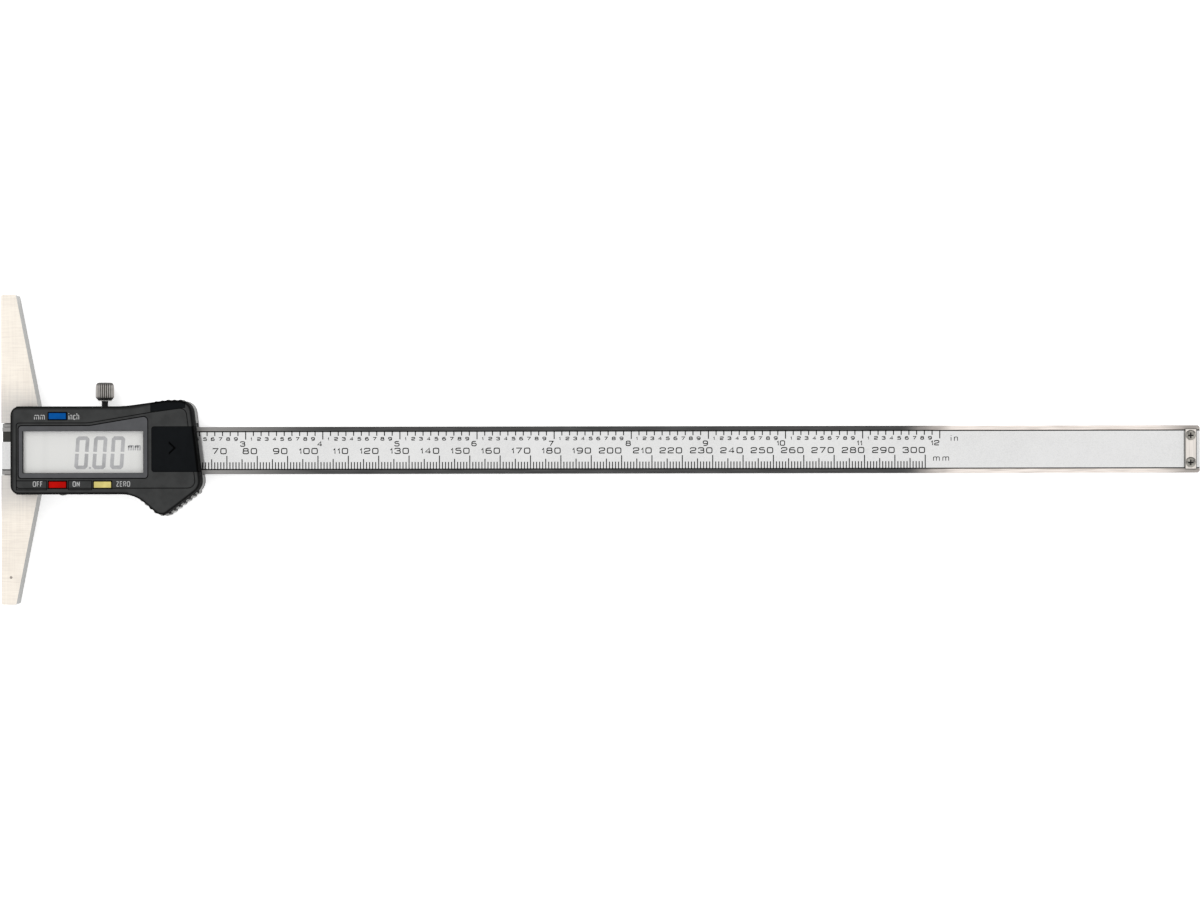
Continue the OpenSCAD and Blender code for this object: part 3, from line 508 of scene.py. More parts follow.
@dataclass(frozen=True)
class PlateSteel(GroundSteel):
    """The stop plate's steel, with a painted shadow along its outline and in a crescent above each screw."""

    # painted shadow along the plate's outline and in a crescent above each screw
    line: Colour = (0.1, 0.1, 0.09)
    line_strength: float = 0.95
    line_width: float = 0.3
    line_fade: float = 0.6
    middle: Point = (391.35, -0.4)
    half: Point = (1.95, 6.73)
    screws_y: Point = (-4.86, 4.06)
    crescent_r: float = 1.81
    crescent_y: Span = (0.5, 1.1)

    def tint(self, graph: Graph, lines: Value, stains: Value) -> Socket:
        """Paint the shadow lines by the distances from the plate's outline and from its screws.

        Args:
            graph: the material's node tree.
            lines: the grinding lines.
            stains: the stains.

        Returns:
            The colour's socket.
        """
        x, y, _ = graph.place()
        fade = (-self.line_width, -self.line_width * self.line_fade)
        across = ((x - self.middle[0]).absolute() - self.half[0]).ramp(*fade)
        along = ((y - self.middle[1]).absolute() - self.half[1]).ramp(*fade)
        share = across.larger(along)
        for screw_y in self.screws_y:
            off_y = y - screw_y
            r = (x - self.middle[0]).hypot(off_y)
            share = share.larger(r.below(self.crescent_r) * off_y.ramp(*self.crescent_y))
        return graph.mix(share * self.line_strength, super().tint(graph, lines, stains), self.line)


@dataclass(frozen=True)
class FrameSteel(GroundSteel):
    """The slider frame's steel: dark on top, paler below its upper edge and darker towards the back, with
    painted highlights on the right flank's teeth and painted shadow in the pits between them.
    """

    top: Colour = grey(0.03)
    top_z: Span = (5.9, 7.2)
    back: Colour = grey(0.13)
    back_z: Span = (2.7, 2.1)
    side_metallic: float = 0.12
    back_face_z: float = 0.05
    # painted shadow in the pits and painted highlights on the teeth of the right flank
    pit: Colour = grey(0.008)
    pit_wave: Span = (0.2, -0.5)
    tooth: Colour = (0.5, 0.5, 0.49)
    row_start: Point = (53.7, -22.15)
    row_along: Point = (0.796, 0.605)
    row: Span = (-3.0, 13.5)
    row_below_y: float = -9.0
    first: float = 3.3
    pitch: float = 2.0

    def tint(self, graph: Graph, lines: Value, stains: Value) -> Socket:
        """Split the side by height, and paint highlights on the teeth of the right flank and shadow in the
        pits between them.

        A cosine of the distance along the flank is lowest midway between two teeth.

        Args:
            graph: the material's node tree.
            lines: the grinding lines.
            stains: the stains.

        Returns:
            The colour's socket.
        """
        x, y, z = graph.place()
        side = graph.sunk(super().tint(graph, lines, stains), self.back, self.back_z)
        along = (x - self.row_start[0]) * self.row_along[0] + (y - self.row_start[1]) * self.row_along[1]
        wave = ((along - self.first) * (2 * math.pi / self.pitch)).sum("COSINE")
        inside = along.between(*self.row) * y.below(self.row_below_y) * z.over(self.back_face_z)
        # painted highlights on the teeth, then painted shadow in the pits
        tooth_lit = graph.mix(inside, side, self.tooth)
        pit_shaded = graph.mix(wave.ramp(*self.pit_wave) * inside, tooth_lit, self.pit)
        return graph.mix(z.ramp(*self.top_z) * (1.0 - inside), pit_shaded, self.top)

    def shine(self, graph: Graph) -> Number:
        """Keep the ground back face metallic and the cast sides satin."""
        _, _, z = graph.place()
        return self.metallic - z.over(self.back_face_z) * (self.metallic - self.side_metallic)


@dataclass(frozen=True)
class KnurledSteel(GroundSteel):
    """The lock screw's steel: painted shade in the knurls' hollows, on the shaft below the head and in a
    band near the head's start, with a painted highlight at the head's near end.
    """

    axis: Point = (33.64, 4.25)
    # painted shade in the knurls' hollows, on the shaft and in a band, and a painted highlight at the head's
    # near end
    groove: Colour = (0.11, 0.105, 0.1)
    groove_r: Span = (2.93, 2.69)
    neck: Colour = grey(0.012)
    neck_r: float = 1.6
    ring: Colour = (0.95, 0.94, 0.92)
    head_y: float = 15.95
    ring_end_y: float = 16.31
    band_end_y: float = 16.91

    def tint(self, graph: Graph, lines: Value, stains: Value) -> Socket:
        """Paint shade by the distance from the screw's axis, and paint a shaded band and a highlight at the
        head's near end.

        Args:
            graph: the material's node tree.
            lines: the grinding lines.
            stains: the stains.

        Returns:
            The colour's socket.
        """
        x, y, z = graph.place()
        r = (x - self.axis[0]).hypot(z - self.axis[1])
        groove_shaded = graph.mix(r.ramp(*self.groove_r), super().tint(graph, lines, stains), self.groove)
        band_shaded = graph.mix(y.between(self.ring_end_y, self.band_end_y), groove_shaded, self.neck)
        ring_lit = graph.mix(y.between(self.head_y, self.ring_end_y), band_shaded, self.ring)
        return graph.mix(r.below(self.neck_r) * y.below(self.head_y), ring_lit, self.neck)


@dataclass(frozen=True)
class Plastic:
    """Moulded plastic: one colour with a faint mottle and a fine grain."""

    name: str
    colour: Colour
    roughness: float = 0.42
    grain_mm: float = 0.004
    per_mm: float = 7.0
    specular: float = 0.35
    # painted shade: the colour that sides and grooves run to below the given heights
    floor: Colour | None = None
    floor_z: Span = (0.0, 0.0)
    side_roughness: float = 0.95
    mottle_per_mm: float = 0.3
    mottle_range: Span = (0.35, 0.7)
    mottle_dull: float = 0.1
    darkest: float = 0.8

    def edged(self, graph: Graph, base: Socket) -> Socket:
        """Give the colour with the painted shade near the piece's outline, which is nothing on most pieces.
        """
        return base

    def build(self) -> Material:
        """Make the material: a coarse noise tints and roughens it and a fine one bends its normal.

        Returns:
            The material.
        """
        graph = Graph(self.name)
        mottle = graph.noise(self.mottle_per_mm, detail=4.0)
        grain = graph.noise(self.per_mm, detail=2.0)
        darker = tuple(part * self.darkest for part in self.colour)
        base = self.edged(graph, graph.mix(mottle.ramp(*self.mottle_range), self.colour, darker))
        roughness = mottle * self.mottle_dull + (self.roughness - self.mottle_dull / 2)
        # painted shade on the sides and in grooves, which are also made rougher
        if self.floor:
            base = graph.sunk(base, self.floor, self.floor_z)
            _, _, z = graph.place()
            roughness = roughness + z.ramp(*self.floor_z) * (self.side_roughness - self.roughness)
        return graph.finish({
            "Base Color": base,
            "Roughness": roughness,
            "Normal": graph.bump(grain, self.grain_mm),
            "Specular IOR Level": self.specular,
        })


@dataclass(frozen=True)
class HousingPlastic(Plastic):
    """The housing's plastic, with painted shade where its face rolls over into its sides."""

    # painted shade on the rolled edge of the face
    edge: Colour = grey(0.016)
    left: float = 4.42
    top: float = 14.15
    low: float = -14.65
    rise: float = 1.85
    rise_x: Span = (41.5, 54.9)
    grip_from: float = 43.0
    roll: Span = (1.5, 0.525)
    lower_roll: Span = (1.05, 0.45)

    def edged(self, graph: Graph, base: Socket) -> Socket:
        """Paint shade by the distance from the left side, the upper edge with its rise, and the lower edge.

        Args:
            graph: the material's node tree.
            base: the face's colour.

        Returns:
            The colour's socket.
        """
        x, y, _ = graph.place()
        upper = x.ramp(*self.rise_x) * self.rise + self.top
        near_left = (x - self.left).ramp(*self.roll)
        near_upper = (upper - y).ramp(*self.roll)
        near_lower = (y - self.low).ramp(*self.lower_roll) * x.below(self.grip_from)
        return graph.mix(near_left.larger(near_upper).larger(near_lower), base, self.edge)


@dataclass(frozen=True)
class WindowPlastic:
    """Clear plastic with an opaque grey border printed round the display's view."""

    name: str
    view: Rectangle = (8.5, -7.6, 47.85, 6.0)
    border: Colour = (0.07, 0.071, 0.076)
    palest: float = 1.18
    line: Colour = (0.055, 0.055, 0.058)
    line_width: float = 0.2
    # painted shade on the window's sides and edge rounds
    side: Colour = grey(0.008)
    side_z: Span = (15.16, 15.08)
    clear_alpha: float = 0.03
    specular: float = 0.25
    mottle_per_mm: float = 0.25
    mottle_range: Span = (0.3, 0.75)
    mottle_dull: float = 0.08
    least_rough: float = 0.14

    def build(self) -> Material:
        """Make the material: opaque outside the view rectangle and nearly clear inside it, with painted
        shade on its sides.

        Returns:
            The material.
        """
        graph = Graph(self.name)
        x, y, _ = graph.place()
        left, low, right, high = self.view
        inside = x.between(left, right) * y.between(low, high)
        wide = self.line_width
        near = x.between(left - wide, right + wide) * y.between(low - wide, high + wide)
        mottle = graph.noise(self.mottle_per_mm)
        paler = tuple(part * self.palest for part in self.border)
        mottled = graph.mix(mottle.ramp(*self.mottle_range), self.border, paler)
        base = graph.mix(near, mottled, self.line)
        return graph.finish({
            "Base Color": graph.sunk(base, self.side, self.side_z),
            "Roughness": mottle * self.mottle_dull + self.least_rough,
            "Alpha": 1.0 - inside * (1.0 - self.clear_alpha),
            "Specular IOR Level": self.specular,
        })


@dataclass(frozen=True)
class DisplayGlass:
    """Pale display glass, with painted light under its upper edge and painted shade at its rim, with faint
    columns.
    """

    name: str
    colour: Colour = (0.82, 0.82, 0.8)
    # painted light under the upper edge
    upper: Colour = (0.98, 0.98, 0.97)
    # painted shade at the rim
    edge: Colour = (0.55, 0.55, 0.54)
    view: Rectangle = (8.6, -7.6, 47.8, 6.0)
    upper_reach: Span = (1.6, 0.2)
    left_reach: float = 1.3
    left_share: float = 0.8
    right_reach: float = 0.8
    low_reach: float = 0.6
    rest_share: float = 0.2
    rim_share: float = 0.45
    columns_per_mm: float = 0.35
    column_range: Span = (0.45, 0.8)
    column_share: float = 0.12
    column_dull: float = 0.05
    least_rough: float = 0.3
    specular: float = 0.2

    def build(self) -> Material:
        """Make the material: the painted shade comes in over a short reach before each edge, and the painted
        light below the upper edge.

        Returns:
            The material.
        """
        graph = Graph(self.name)
        x, y, _ = graph.place()
        left, low, right, high = self.view
        pale = graph.mix(y.ramp(*(high - reach for reach in self.upper_reach)), self.colour, self.upper)
        rest = x.ramp(right - self.right_reach, right) + y.ramp(low + self.low_reach, low)
        rim = x.ramp(left + self.left_reach, left) * self.left_share + rest * self.rest_share
        columns = graph.noise(self.columns_per_mm, Lay.ALONG_BASE, 1.0)
        share = rim * self.rim_share + columns.ramp(*self.column_range) * self.column_share
        return graph.finish({
            "Base Color": graph.mix(share, pale, self.edge),
            "Roughness": columns * self.column_dull + self.least_rough,
            "Specular IOR Level": self.specular,
        })


@dataclass(frozen=True)
class LabelFilm:
    """Silver-white printed film with a fine sandy grain."""

    name: str
    colour: Colour = (0.8, 0.8, 0.795)
    shade: Colour = grey(0.66)
    grain_mm: float = 0.003
    grains_per_mm: float = 3.2
    grain_share: float = 0.8
    bands_per_mm: float = 0.08
    band_share: float = 0.3
    worn: Span = (0.4, 0.9)
    metallic: float = 0.7
    grain_dull: float = 0.1
    least_rough: float = 0.06

    def build(self) -> Material:
        """Make the material: a fine noise gives the grain and a long one slow bands.

        Returns:
            The material.
        """
        graph = Graph(self.name)
        grain = graph.noise(self.grains_per_mm, detail=2.0)
        bands = graph.noise(self.bands_per_mm, detail=2.0)
        wear = (grain * self.grain_share + bands * self.band_share).ramp(*self.worn)
        return graph.finish({
            "Base Color": graph.mix(wear, self.colour, self.shade),
            "Metallic": self.metallic,
            "Roughness": grain * self.grain_dull + self.least_rough,
            "Normal": graph.bump(grain, self.grain_mm),
        })


@dataclass(frozen=True)
class Board:
    """Green lacquered board with copper tracks under the lacquer."""

    name: str
    colour: Colour = (0.012, 0.09, 0.04)
    track: Colour = (0.05, 0.2, 0.07)
    track_mm: float = 0.02
    tracks_per_mm: float = 0.9
    track_range: Span = (0.5, 0.53)
    track_dull: float = 0.1
    least_rough: float = 0.25

    def build(self) -> Material:
        """Make the material: bands of a stretched noise stand for the tracks.

        Returns:
            The material.
        """
        graph = Graph(self.name)
        noise = graph.noise(self.tracks_per_mm, Lay.ALONG_BEAM, 0.0)
        tracks = noise.ramp(*self.track_range)
        return graph.finish({
            "Base Color": graph.mix(tracks, self.colour, self.track),
            "Roughness": noise * self.track_dull + self.least_rough,
            "Normal": graph.bump(tracks, self.track_mm),
        })


def in_scene(name: str, data: bpy.types.ID) -> bpy.types.Object:
    """Make an object of this name at the origin and put it in the scene.

    Args:
        name: the object's name.
        data: its mesh, light or camera.

    Returns:
        The object.
    """
    made = bpy.data.objects.new(name, data)
    bpy.context.scene.collection.objects.link(made)
    return made


@dataclass
class Solid:
    """Vertices and faces that grow part by part into one mesh, in millimetres."""

    vertices: list[np.ndarray] = field(default_factory=list)
    faces: list[np.ndarray] = field(default_factory=list)
    count: int = 0

    def add(self, vertices: np.ndarray, faces: np.ndarray) -> None:
        """Add one part, whose faces count from its own first vertex.

        Args:
            vertices: the part's points, one in each row.
            faces: the numbers of each face's points.
        """
        self.vertices.append(vertices)
        self.faces.append(faces + self.count)
        self.count += len(vertices)

    def piece(self, name: str, material: Material, smooth_deg: float | None = None) -> bpy.types.Object:
        """Make the object.

        Args:
            name: the piece's name.
            material: its finish.
            smooth_deg: edges flatter than this are shaded round; None keeps every face flat.

        Returns:
            The object at the origin, with its place in its mesh.
        """
        mesh = bpy.data.meshes.new(name)
        faces = [face for part in self.faces for face in part.tolist()]
        mesh.from_pydata(np.concatenate(self.vertices) * MM, [], faces)
        mesh.materials.append(material)
        if smooth_deg is not None:
            mesh.shade_smooth()
            mesh.set_sharp_from_angle(angle=math.radians(smooth_deg))
        return in_scene(name, mesh)


def strip_faces(rings: int, around: int, closed: bool) -> np.ndarray:
    """Join rings of points by quads.

    Args:
        rings: how many rings there are.
        around: how many points each ring has.
        closed: whether the last ring meets the first.

    Returns:
        One row of four vertex numbers for each face. Face i, j joins the points j and j + 1 of the
        rings i and i + 1.
    """
    i, j = np.meshgrid(np.arange(rings if closed else rings - 1), np.arange(around), indexing="ij")
    nxt = (i + 1) % rings
    step = (j + 1) % around
    quads = np.stack([i * around + j, i * around + step, nxt * around + step, nxt * around + j], axis=-1)
    return quads.reshape(-1, 4)


def softened(points: np.ndarray, closed: bool, rounds: int = 2) -> np.ndarray:
    """Cut each corner of a line at a quarter and three quarters of its sides, a few times over.

    Args:
        points: the line.
        closed: whether its last point meets its first.
        rounds: how often the corners are cut.

    Returns:
        The softer line.
    """
    for _ in range(rounds):
        after = np.roll(points, -1, axis=0) if closed else points[1:]
        before = points if closed else points[:-1]
        cut = np.stack([before * 0.75 + after * 0.25, before * 0.25 + after * 0.75], axis=1).reshape(-1, 2)
        points = cut if closed else np.concatenate([points[:1], cut, points[-1:]])
    return points


def ribbon(points: np.ndarray, width: float, z: float, closed: bool = False) -> Geometry:
    """Print a line of some width on a surface, with mitred corners.

    Each side of the ribbon lies half the width from the line, along the mean of the normals before and
    after the point, lengthened so that the width is kept round the corner.

    Args:
        points: the line.
        width: the ribbon's width.
        z: height of the surface, which is the ribbon's underside.
        closed: whether the line ends where it starts.

    Returns:
        The vertices and faces.
    """
    ahead = np.roll(points, -1, axis=0) - points
    behind = points - np.roll(points, 1, axis=0)
    if not closed:
        ahead[-1] = ahead[-2]
        behind[0] = behind[1]
    ahead /= np.linalg.norm(ahead, axis=1, keepdims=True)
    behind /= np.linalg.norm(behind, axis=1, keepdims=True)
    first = np.stack([-behind[:, 1], behind[:, 0]], axis=1)
    second = np.stack([-ahead[:, 1], ahead[:, 0]], axis=1)
    spread = np.maximum(1 + np.sum(first * second, axis=1, keepdims=True), 0.5)
    side = (first + second) / spread * width / 2
    corners = [points + side, points - side, points - side, points + side]
    heights = [z + PRINT_MM, z + PRINT_MM, z, z]
    rings = np.stack([np.column_stack([p, np.full(len(p), h)]) for p, h in zip(corners, heights)], axis=1)
    faces = strip_faces(len(points), 4, closed)
    if not closed:
        last = (len(points) - 1) * 4
        faces = np.concatenate([faces, [[3, 2, 1, 0], [last, last + 1, last + 2, last + 3]]])
    return rings.reshape(-1, 3), faces


def bars(lows: np.ndarray, highs: np.ndarray) -> Geometry:
    """Make a closed box for each pair of lowest and highest corners.

    Args:
        lows: the lowest corners, one in each row.
        highs: the highest corners.

    Returns:
        The vertices and faces.
    """
    pick = np.array([[0, 0, 0], [1, 0, 0], [1, 1, 0], [0, 1, 0], [0, 0, 1], [1, 0, 1], [1, 1, 1], [0, 1, 1]])
    corners = lows[:, None, :] + (highs - lows)[:, None, :] * pick[None, :, :]
    box = np.array([[0, 3, 2, 1], [4, 5, 6, 7], [0, 1, 5, 4], [1, 2, 6, 5], [2, 3, 7, 6], [3, 0, 4, 7]])
    faces = box[None, :, :] + np.arange(len(lows))[:, None, None] * 8
    return corners.reshape(-1, 3), faces.reshape(-1, 4)


@dataclass(frozen=True)
class Stroke:
    """One line of a letter in a box one unit wide and high."""

    points: tuple[Point, ...]
    closed: bool = False
    soft: bool = True


def curve(*points: Point, closed: bool = False) -> Stroke:
    """Make a stroke with soft corners."""
    return Stroke(points, closed)


def line(*points: Point) -> Stroke:
    """Make an open stroke with sharp corners."""
    return Stroke(points, soft=False)


LOOP = curve((0, 0.14), (0, 0.86), (0.14, 1), (0.86, 1), (1, 0.86), (1, 0.14), (0.86, 0), (0.14, 0),
             closed=True)
SIX = curve((0.92, 1), (0.3, 1), (0, 0.8), (0, 0.16), (0.16, 0), (0.84, 0), (1, 0.14), (1, 0.44),
            (0.84, 0.58), (0.02, 0.58))
ARCH = curve((0, 0.6), (0.12, 1), (0.92, 1), (1, 0.78), (1, 0))
STEM = line((0, 0), (0, 1))
BAR = line((0, 0.52), (0.85, 0.52))
# each sign has its width, as a share of a plain figure's, and its strokes
SIGNS: dict[str, tuple[float, tuple[Stroke, ...]]] = {
    "0": (1.0, (LOOP,)),
    "1": (0.42, (line((0, 0.66), (0.45, 0.78), (0.9, 1), (0.9, 0)),)),
    "2": (1.0, (curve((0, 0.72), (0.04, 1), (0.8, 1), (1, 0.92), (1, 0.6), (0.8, 0.5), (0.2, 0.42),
                      (0, 0.3), (0, 0)), line((0, 0.02), (1, 0.02)))),
    "3": (1.0, (curve((0, 0.78), (0.04, 1), (0.84, 1), (0.96, 0.86), (0.96, 0.64), (0.8, 0.53),
                      (0.35, 0.53)),
                curve((0.6, 0.53), (0.84, 0.53), (1, 0.42), (1, 0.12), (0.84, 0), (0.06, 0), (0, 0.22)))),
    "4": (1.0, (line((0.74, 0), (0.74, 1), (0.02, 0.28), (1, 0.28)),)),
    "5": (1.0, (curve((0.96, 1), (0.08, 1), (0.04, 0.58), (0.84, 0.6), (1, 0.48), (1, 0.12), (0.84, 0),
                      (0.06, 0), (0, 0.2)),)),
    "6": (1.0, (SIX,)),
    "7": (1.0, (line((0, 1), (0.98, 1), (0.3, 0)),)),
    "8": (1.0, (curve((0, 0.14), (0, 0.4), (0.16, 0.54), (0.84, 0.54), (1, 0.4), (1, 0.14), (0.84, 0),
                      (0.16, 0), closed=True),
                curve((0.06, 0.64), (0.06, 0.88), (0.2, 1), (0.8, 1), (0.94, 0.88), (0.94, 0.64),
                      (0.8, 0.54), (0.2, 0.54), closed=True))),
    "9": (1.0, (curve(*((1 - x, 1 - y) for x, y in SIX.points)),)),
    "O": (1.0, (LOOP,)),
    "F": (0.78, (line((0, 0), (0, 1), (1, 1)), BAR)),
    "N": (0.95, (STEM, line((0, 1), (1, 0)), line((1, 0), (1, 1)))),
    "Z": (0.9, (line((0, 1), (0.98, 1)), line((0.96, 0.98), (0.02, 0.02)), line((0, 0), (1, 0)))),
    "E": (0.8, (line((1, 1), (0, 1), (0, 0), (1, 0)), BAR)),
    "R": (0.9, (STEM, curve((0, 1), (0.85, 1), (1, 0.9), (1, 0.6), (0.85, 0.5), (0, 0.5)),
                line((0.5, 0.5), (1, 0)))),
    "m": (1.45, (STEM, curve(*((x / 2, y) for x, y in ARCH.points)),
                 curve(*((0.5 + x / 2, y) for x, y in ARCH.points)))),
    "n": (0.85, (STEM, ARCH)),
    "i": (0.12, (line((0.5, 0), (0.5, 0.95)), line((0.5, 1.3), (0.5, 1.46)))),
    "c": (0.8, (curve((1, 0.8), (0.8, 1), (0.2, 1), (0, 0.8), (0, 0.2), (0.2, 0), (0.8, 0), (1, 0.2)),)),
    "h": (0.85, (line((0, 0), (0, 1.45)), ARCH)),
}


@dataclass(frozen=True)
class Lettering:
    """A size of generic stroked lettering, in millimetres."""

    height: float
    width: float
    gap: float
    stroke: float
    slant: float = 0.0

    def span(self, word: str) -> float:
        """Give the length of a word."""
        return sum(SIGNS[sign][0] for sign in word) * self.width + self.gap * (len(word) - 1)

    def write(self, solid: Solid, word: str, at: Point, z: float, align: Align = Align.LEFT) -> None:
        """Add a word to a solid.

        Args:
            solid: what the word is added to.
            word: the signs.
            at: place of the word's base line.
            z: height of the surface that it is printed on.
            align: which part of the word the place names.
        """
        inner = self.height - self.stroke
        x = at[0] - self.span(word) * align.value
        for sign in word:
            share, strokes = SIGNS[sign]
            wide = share * self.width
            for stroke in strokes:
                points = np.array(stroke.points, float)
                if stroke.soft:
                    points = softened(points, stroke.closed)
                points = points * [max(wide - self.stroke, 0.001), inner] + self.stroke / 2
                points[:, 0] += points[:, 1] * self.slant
                solid.add(*ribbon(points + [x, at[1]], self.stroke, z, stroke.closed))
            x += wide + self.gap


# a steel's numbers are its lines to a millimetre, its roughness and the depth of its lines; a plastic's are
# its roughness, its grain's depth in millimetres and grains to a millimetre, its specular level, and the
# colour and heights of the painted shade on what lies deep
FINISHES = (
    BaseSteel("base_steel", (1.0, 0.93, 0.83), (0.84, 0.77, 0.69), Lay.ACROSS_BASE, 3.4),
    FrameSteel("frame_steel", (0.27, 0.27, 0.26), (0.2, 0.2, 0.195), Lay.NONE, 0.6, 0.5, 0.001,
               specular=0.2),
    # the beam's near-black stands in for a painted dark reflection; its darker second colour is the wear
    BeamSteel("beam_steel", grey(0.09), grey(0.045), Lay.ALONG_BEAM, 3.5, 0.36),
    GroundSteel("gib_steel", (0.45, 0.44, 0.42), grey(0.2), Lay.ALONG_BEAM, 3.0),
    GroundSteel("screw_steel", (0.62, 0.6, 0.57), (0.35, 0.34, 0.33), Lay.NONE, 2.0, 0.3),
    PlateSteel("plate_steel", (0.9, 0.84, 0.78), (0.66, 0.62, 0.58), Lay.ALONG_BASE, 2.4),
    # the stop screws' sides and edge rounds get painted shade below the given heights
    GroundSteel("stop_screw_steel", (0.5, 0.48, 0.43), (0.1, 0.095, 0.09), Lay.NONE, 0.8, 0.3,
                floor=grey(0.01), floor_z=(7.22, 7.1)),
    KnurledSteel("knurled_steel", (0.66, 0.63, 0.6), (0.48, 0.46, 0.44), Lay.NONE, 1.0, 0.5,
                 metallic=0.4, specular=0.25),
    GroundSteel("cell_steel", (0.75, 0.75, 0.74), grey(0.5), Lay.NONE, 1.0, 0.25),
    GroundSteel("contact_brass", (0.75, 0.58, 0.26), (0.5, 0.38, 0.16), Lay.NONE, 1.0, 0.3),
    HousingPlastic("housing_plastic", (0.047, 0.048, 0.048), 0.5, 0.003, 5.0, 0.06,
                   grey(0.008), (15.28, 15.12)),
    Plastic("cover_plastic", (0.006, 0.007, 0.008), 0.4, 0.001, 3.0, 0.04, grey(0.001), (15.28, 15.14)),
    Plastic("blue_button", (0.002, 0.085, 0.34), 0.4, 0.002, 4.0, 0.03, (0.001, 0.02, 0.08), (15.5, 15.3)),
    Plastic("red_button", (0.5, 0.004, 0.002), 0.4, 0.002, 4.0, 0.03, (0.1, 0.002, 0.001), (15.5, 15.3)),
    Plastic("yellow_button", (0.72, 0.62, 0.21), 0.4, 0.002, 4.0, 0.06, (0.2, 0.17, 0.05), (15.5, 15.3)),
    Plastic("holder_plastic", (0.75, 0.75, 0.73), 0.5),
    Plastic("contact_rubber", (0.5, 0.3, 0.33), 0.7),
    Plastic("keypad_rubber", (0.55, 0.55, 0.54), 0.7),
    Plastic("chip_resin", grey(0.006), 0.25),
    Plastic("scale_ink", grey(0.012), 0.6, 0.001, 4.0, 0.05),
    Plastic("edge_shadow", grey(0.035), 0.6, 0.001, 4.0, 0.05),
    Plastic("label_paint", grey(0.5), 0.5, 0.001, 4.0, 0.2),
    Plastic("figure_grey", (0.52, 0.52, 0.53), 0.4, 0.001, 4.0, 0.1),
    Board("circuit_board"),
    DisplayGlass("lcd_glass"),
    LabelFilm("label_silver"),
    WindowPlastic("window_plastic"),
)
# finishes of nodes that differ from the rest of their slot
OWN_FINISHES = {"stop_screws": "stop_screw_steel"}
# width in millimetres of the round on each finished node's edges
SOFT_EDGES = {
    "base": 0.3,
    "slider_frame": 0.12,
    "housing": 0.06,
    "display_window": 0.1,
    "battery_cover": 0.07,
    "port_cover": 0.07,
    "button_units": 0.16,
    "button_power": 0.16,
    "button_zero": 0.16,
    "beam": 0.12,
    "stop_plate": 0.25,
    "stop_screws": 0.05,
    "base_screws": 0.05,
    "housing_screws": 0.05,
    "gib_strip": 0.08,
}


class Model:
    """The fixed model, its finishes, and the ways in which pieces are added to it."""

    def __init__(self, frame: dict) -> None:
        """Make the finishes, and read each node's material slot and body from the record.

        Args:
            frame: the fixed model as it was loaded.
        """
        self.frame = frame
        self.finishes = {finish.name: finish.build() for finish in FINISHES}
        record = frame["record"]
        self.slots = {part["node"]: part["material_slot"] for part in record["subparts"]}
        groups = record["behaviour"]["bodies"]
        self.bodies = {node: body for body, nodes in groups.items() for node in nodes}

    def box(self, node: str) -> np.ndarray:
        """Give a node's lowest and highest corners in millimetres, one in each row."""
        return np.array(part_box(node)) / MM

    def paint(self) -> None:
        """Give every node the finish of its slot, or its own finish where it has one."""
        for name, piece in self.frame["nodes"].items():
            piece.data.materials.clear()
            piece.data.materials.append(self.finishes[OWN_FINISHES.get(name, self.slots[name])])

    def carry(self, piece: bpy.types.Object, body: str, slot: str) -> None:
        """Fix a new piece to a body and report it.

        Args:
            piece: the piece.
            body: the body that it moves with.
            slot: the record's slot for its finish; not used.
        """
        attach(piece, body)
        LOG.info("%s rides on %s", piece.name, body)

    def add(self, solid: Solid, name: str, finish: str, body: str, slot: str) -> None:
        """Make a piece of this name and finish from a solid and fix it to a body."""
        self.carry(solid.piece(name, self.finishes[finish]), body, slot)

    def soften(self, node: str, width_mm: float) -> None:
        """Put a copy with softly rounded edges in a node's place.

        The node's loose triangles are joined and flat faces made whole, and every edge sharper than the
        limit then gets a round of the given width.

        Args:
            node: the node's name.
            width_mm: width of the round.
        """
        mesh = self.frame["nodes"][node].data.copy()
        work = bmesh.new()
        work.from_mesh(mesh)
        bmesh.ops.remove_doubles(work, verts=work.verts, dist=WELD_MM * MM)
        flat = math.radians(FLAT_DEG)
        bmesh.ops.dissolve_limit(work, angle_limit=flat, verts=work.verts, edges=work.edges)
        work.to_mesh(mesh)
        work.free()
        mesh.shade_smooth()
        mesh.set_sharp_from_angle(angle=math.radians(SMOOTH_DEG))
        piece = in_scene(f"{node}_finished", mesh)
        round_off = piece.modifiers.new("soft_edges", "BEVEL")
        round_off.width = width_mm * MM
        round_off.segments = ROUND_FACES
        round_off.limit_method = "ANGLE"
        round_off.angle_limit = math.radians(ROUND_DEG)
        round_off.harden_normals = True
        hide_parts(node)
        self.carry(piece, self.bodies[node], self.slots[node])


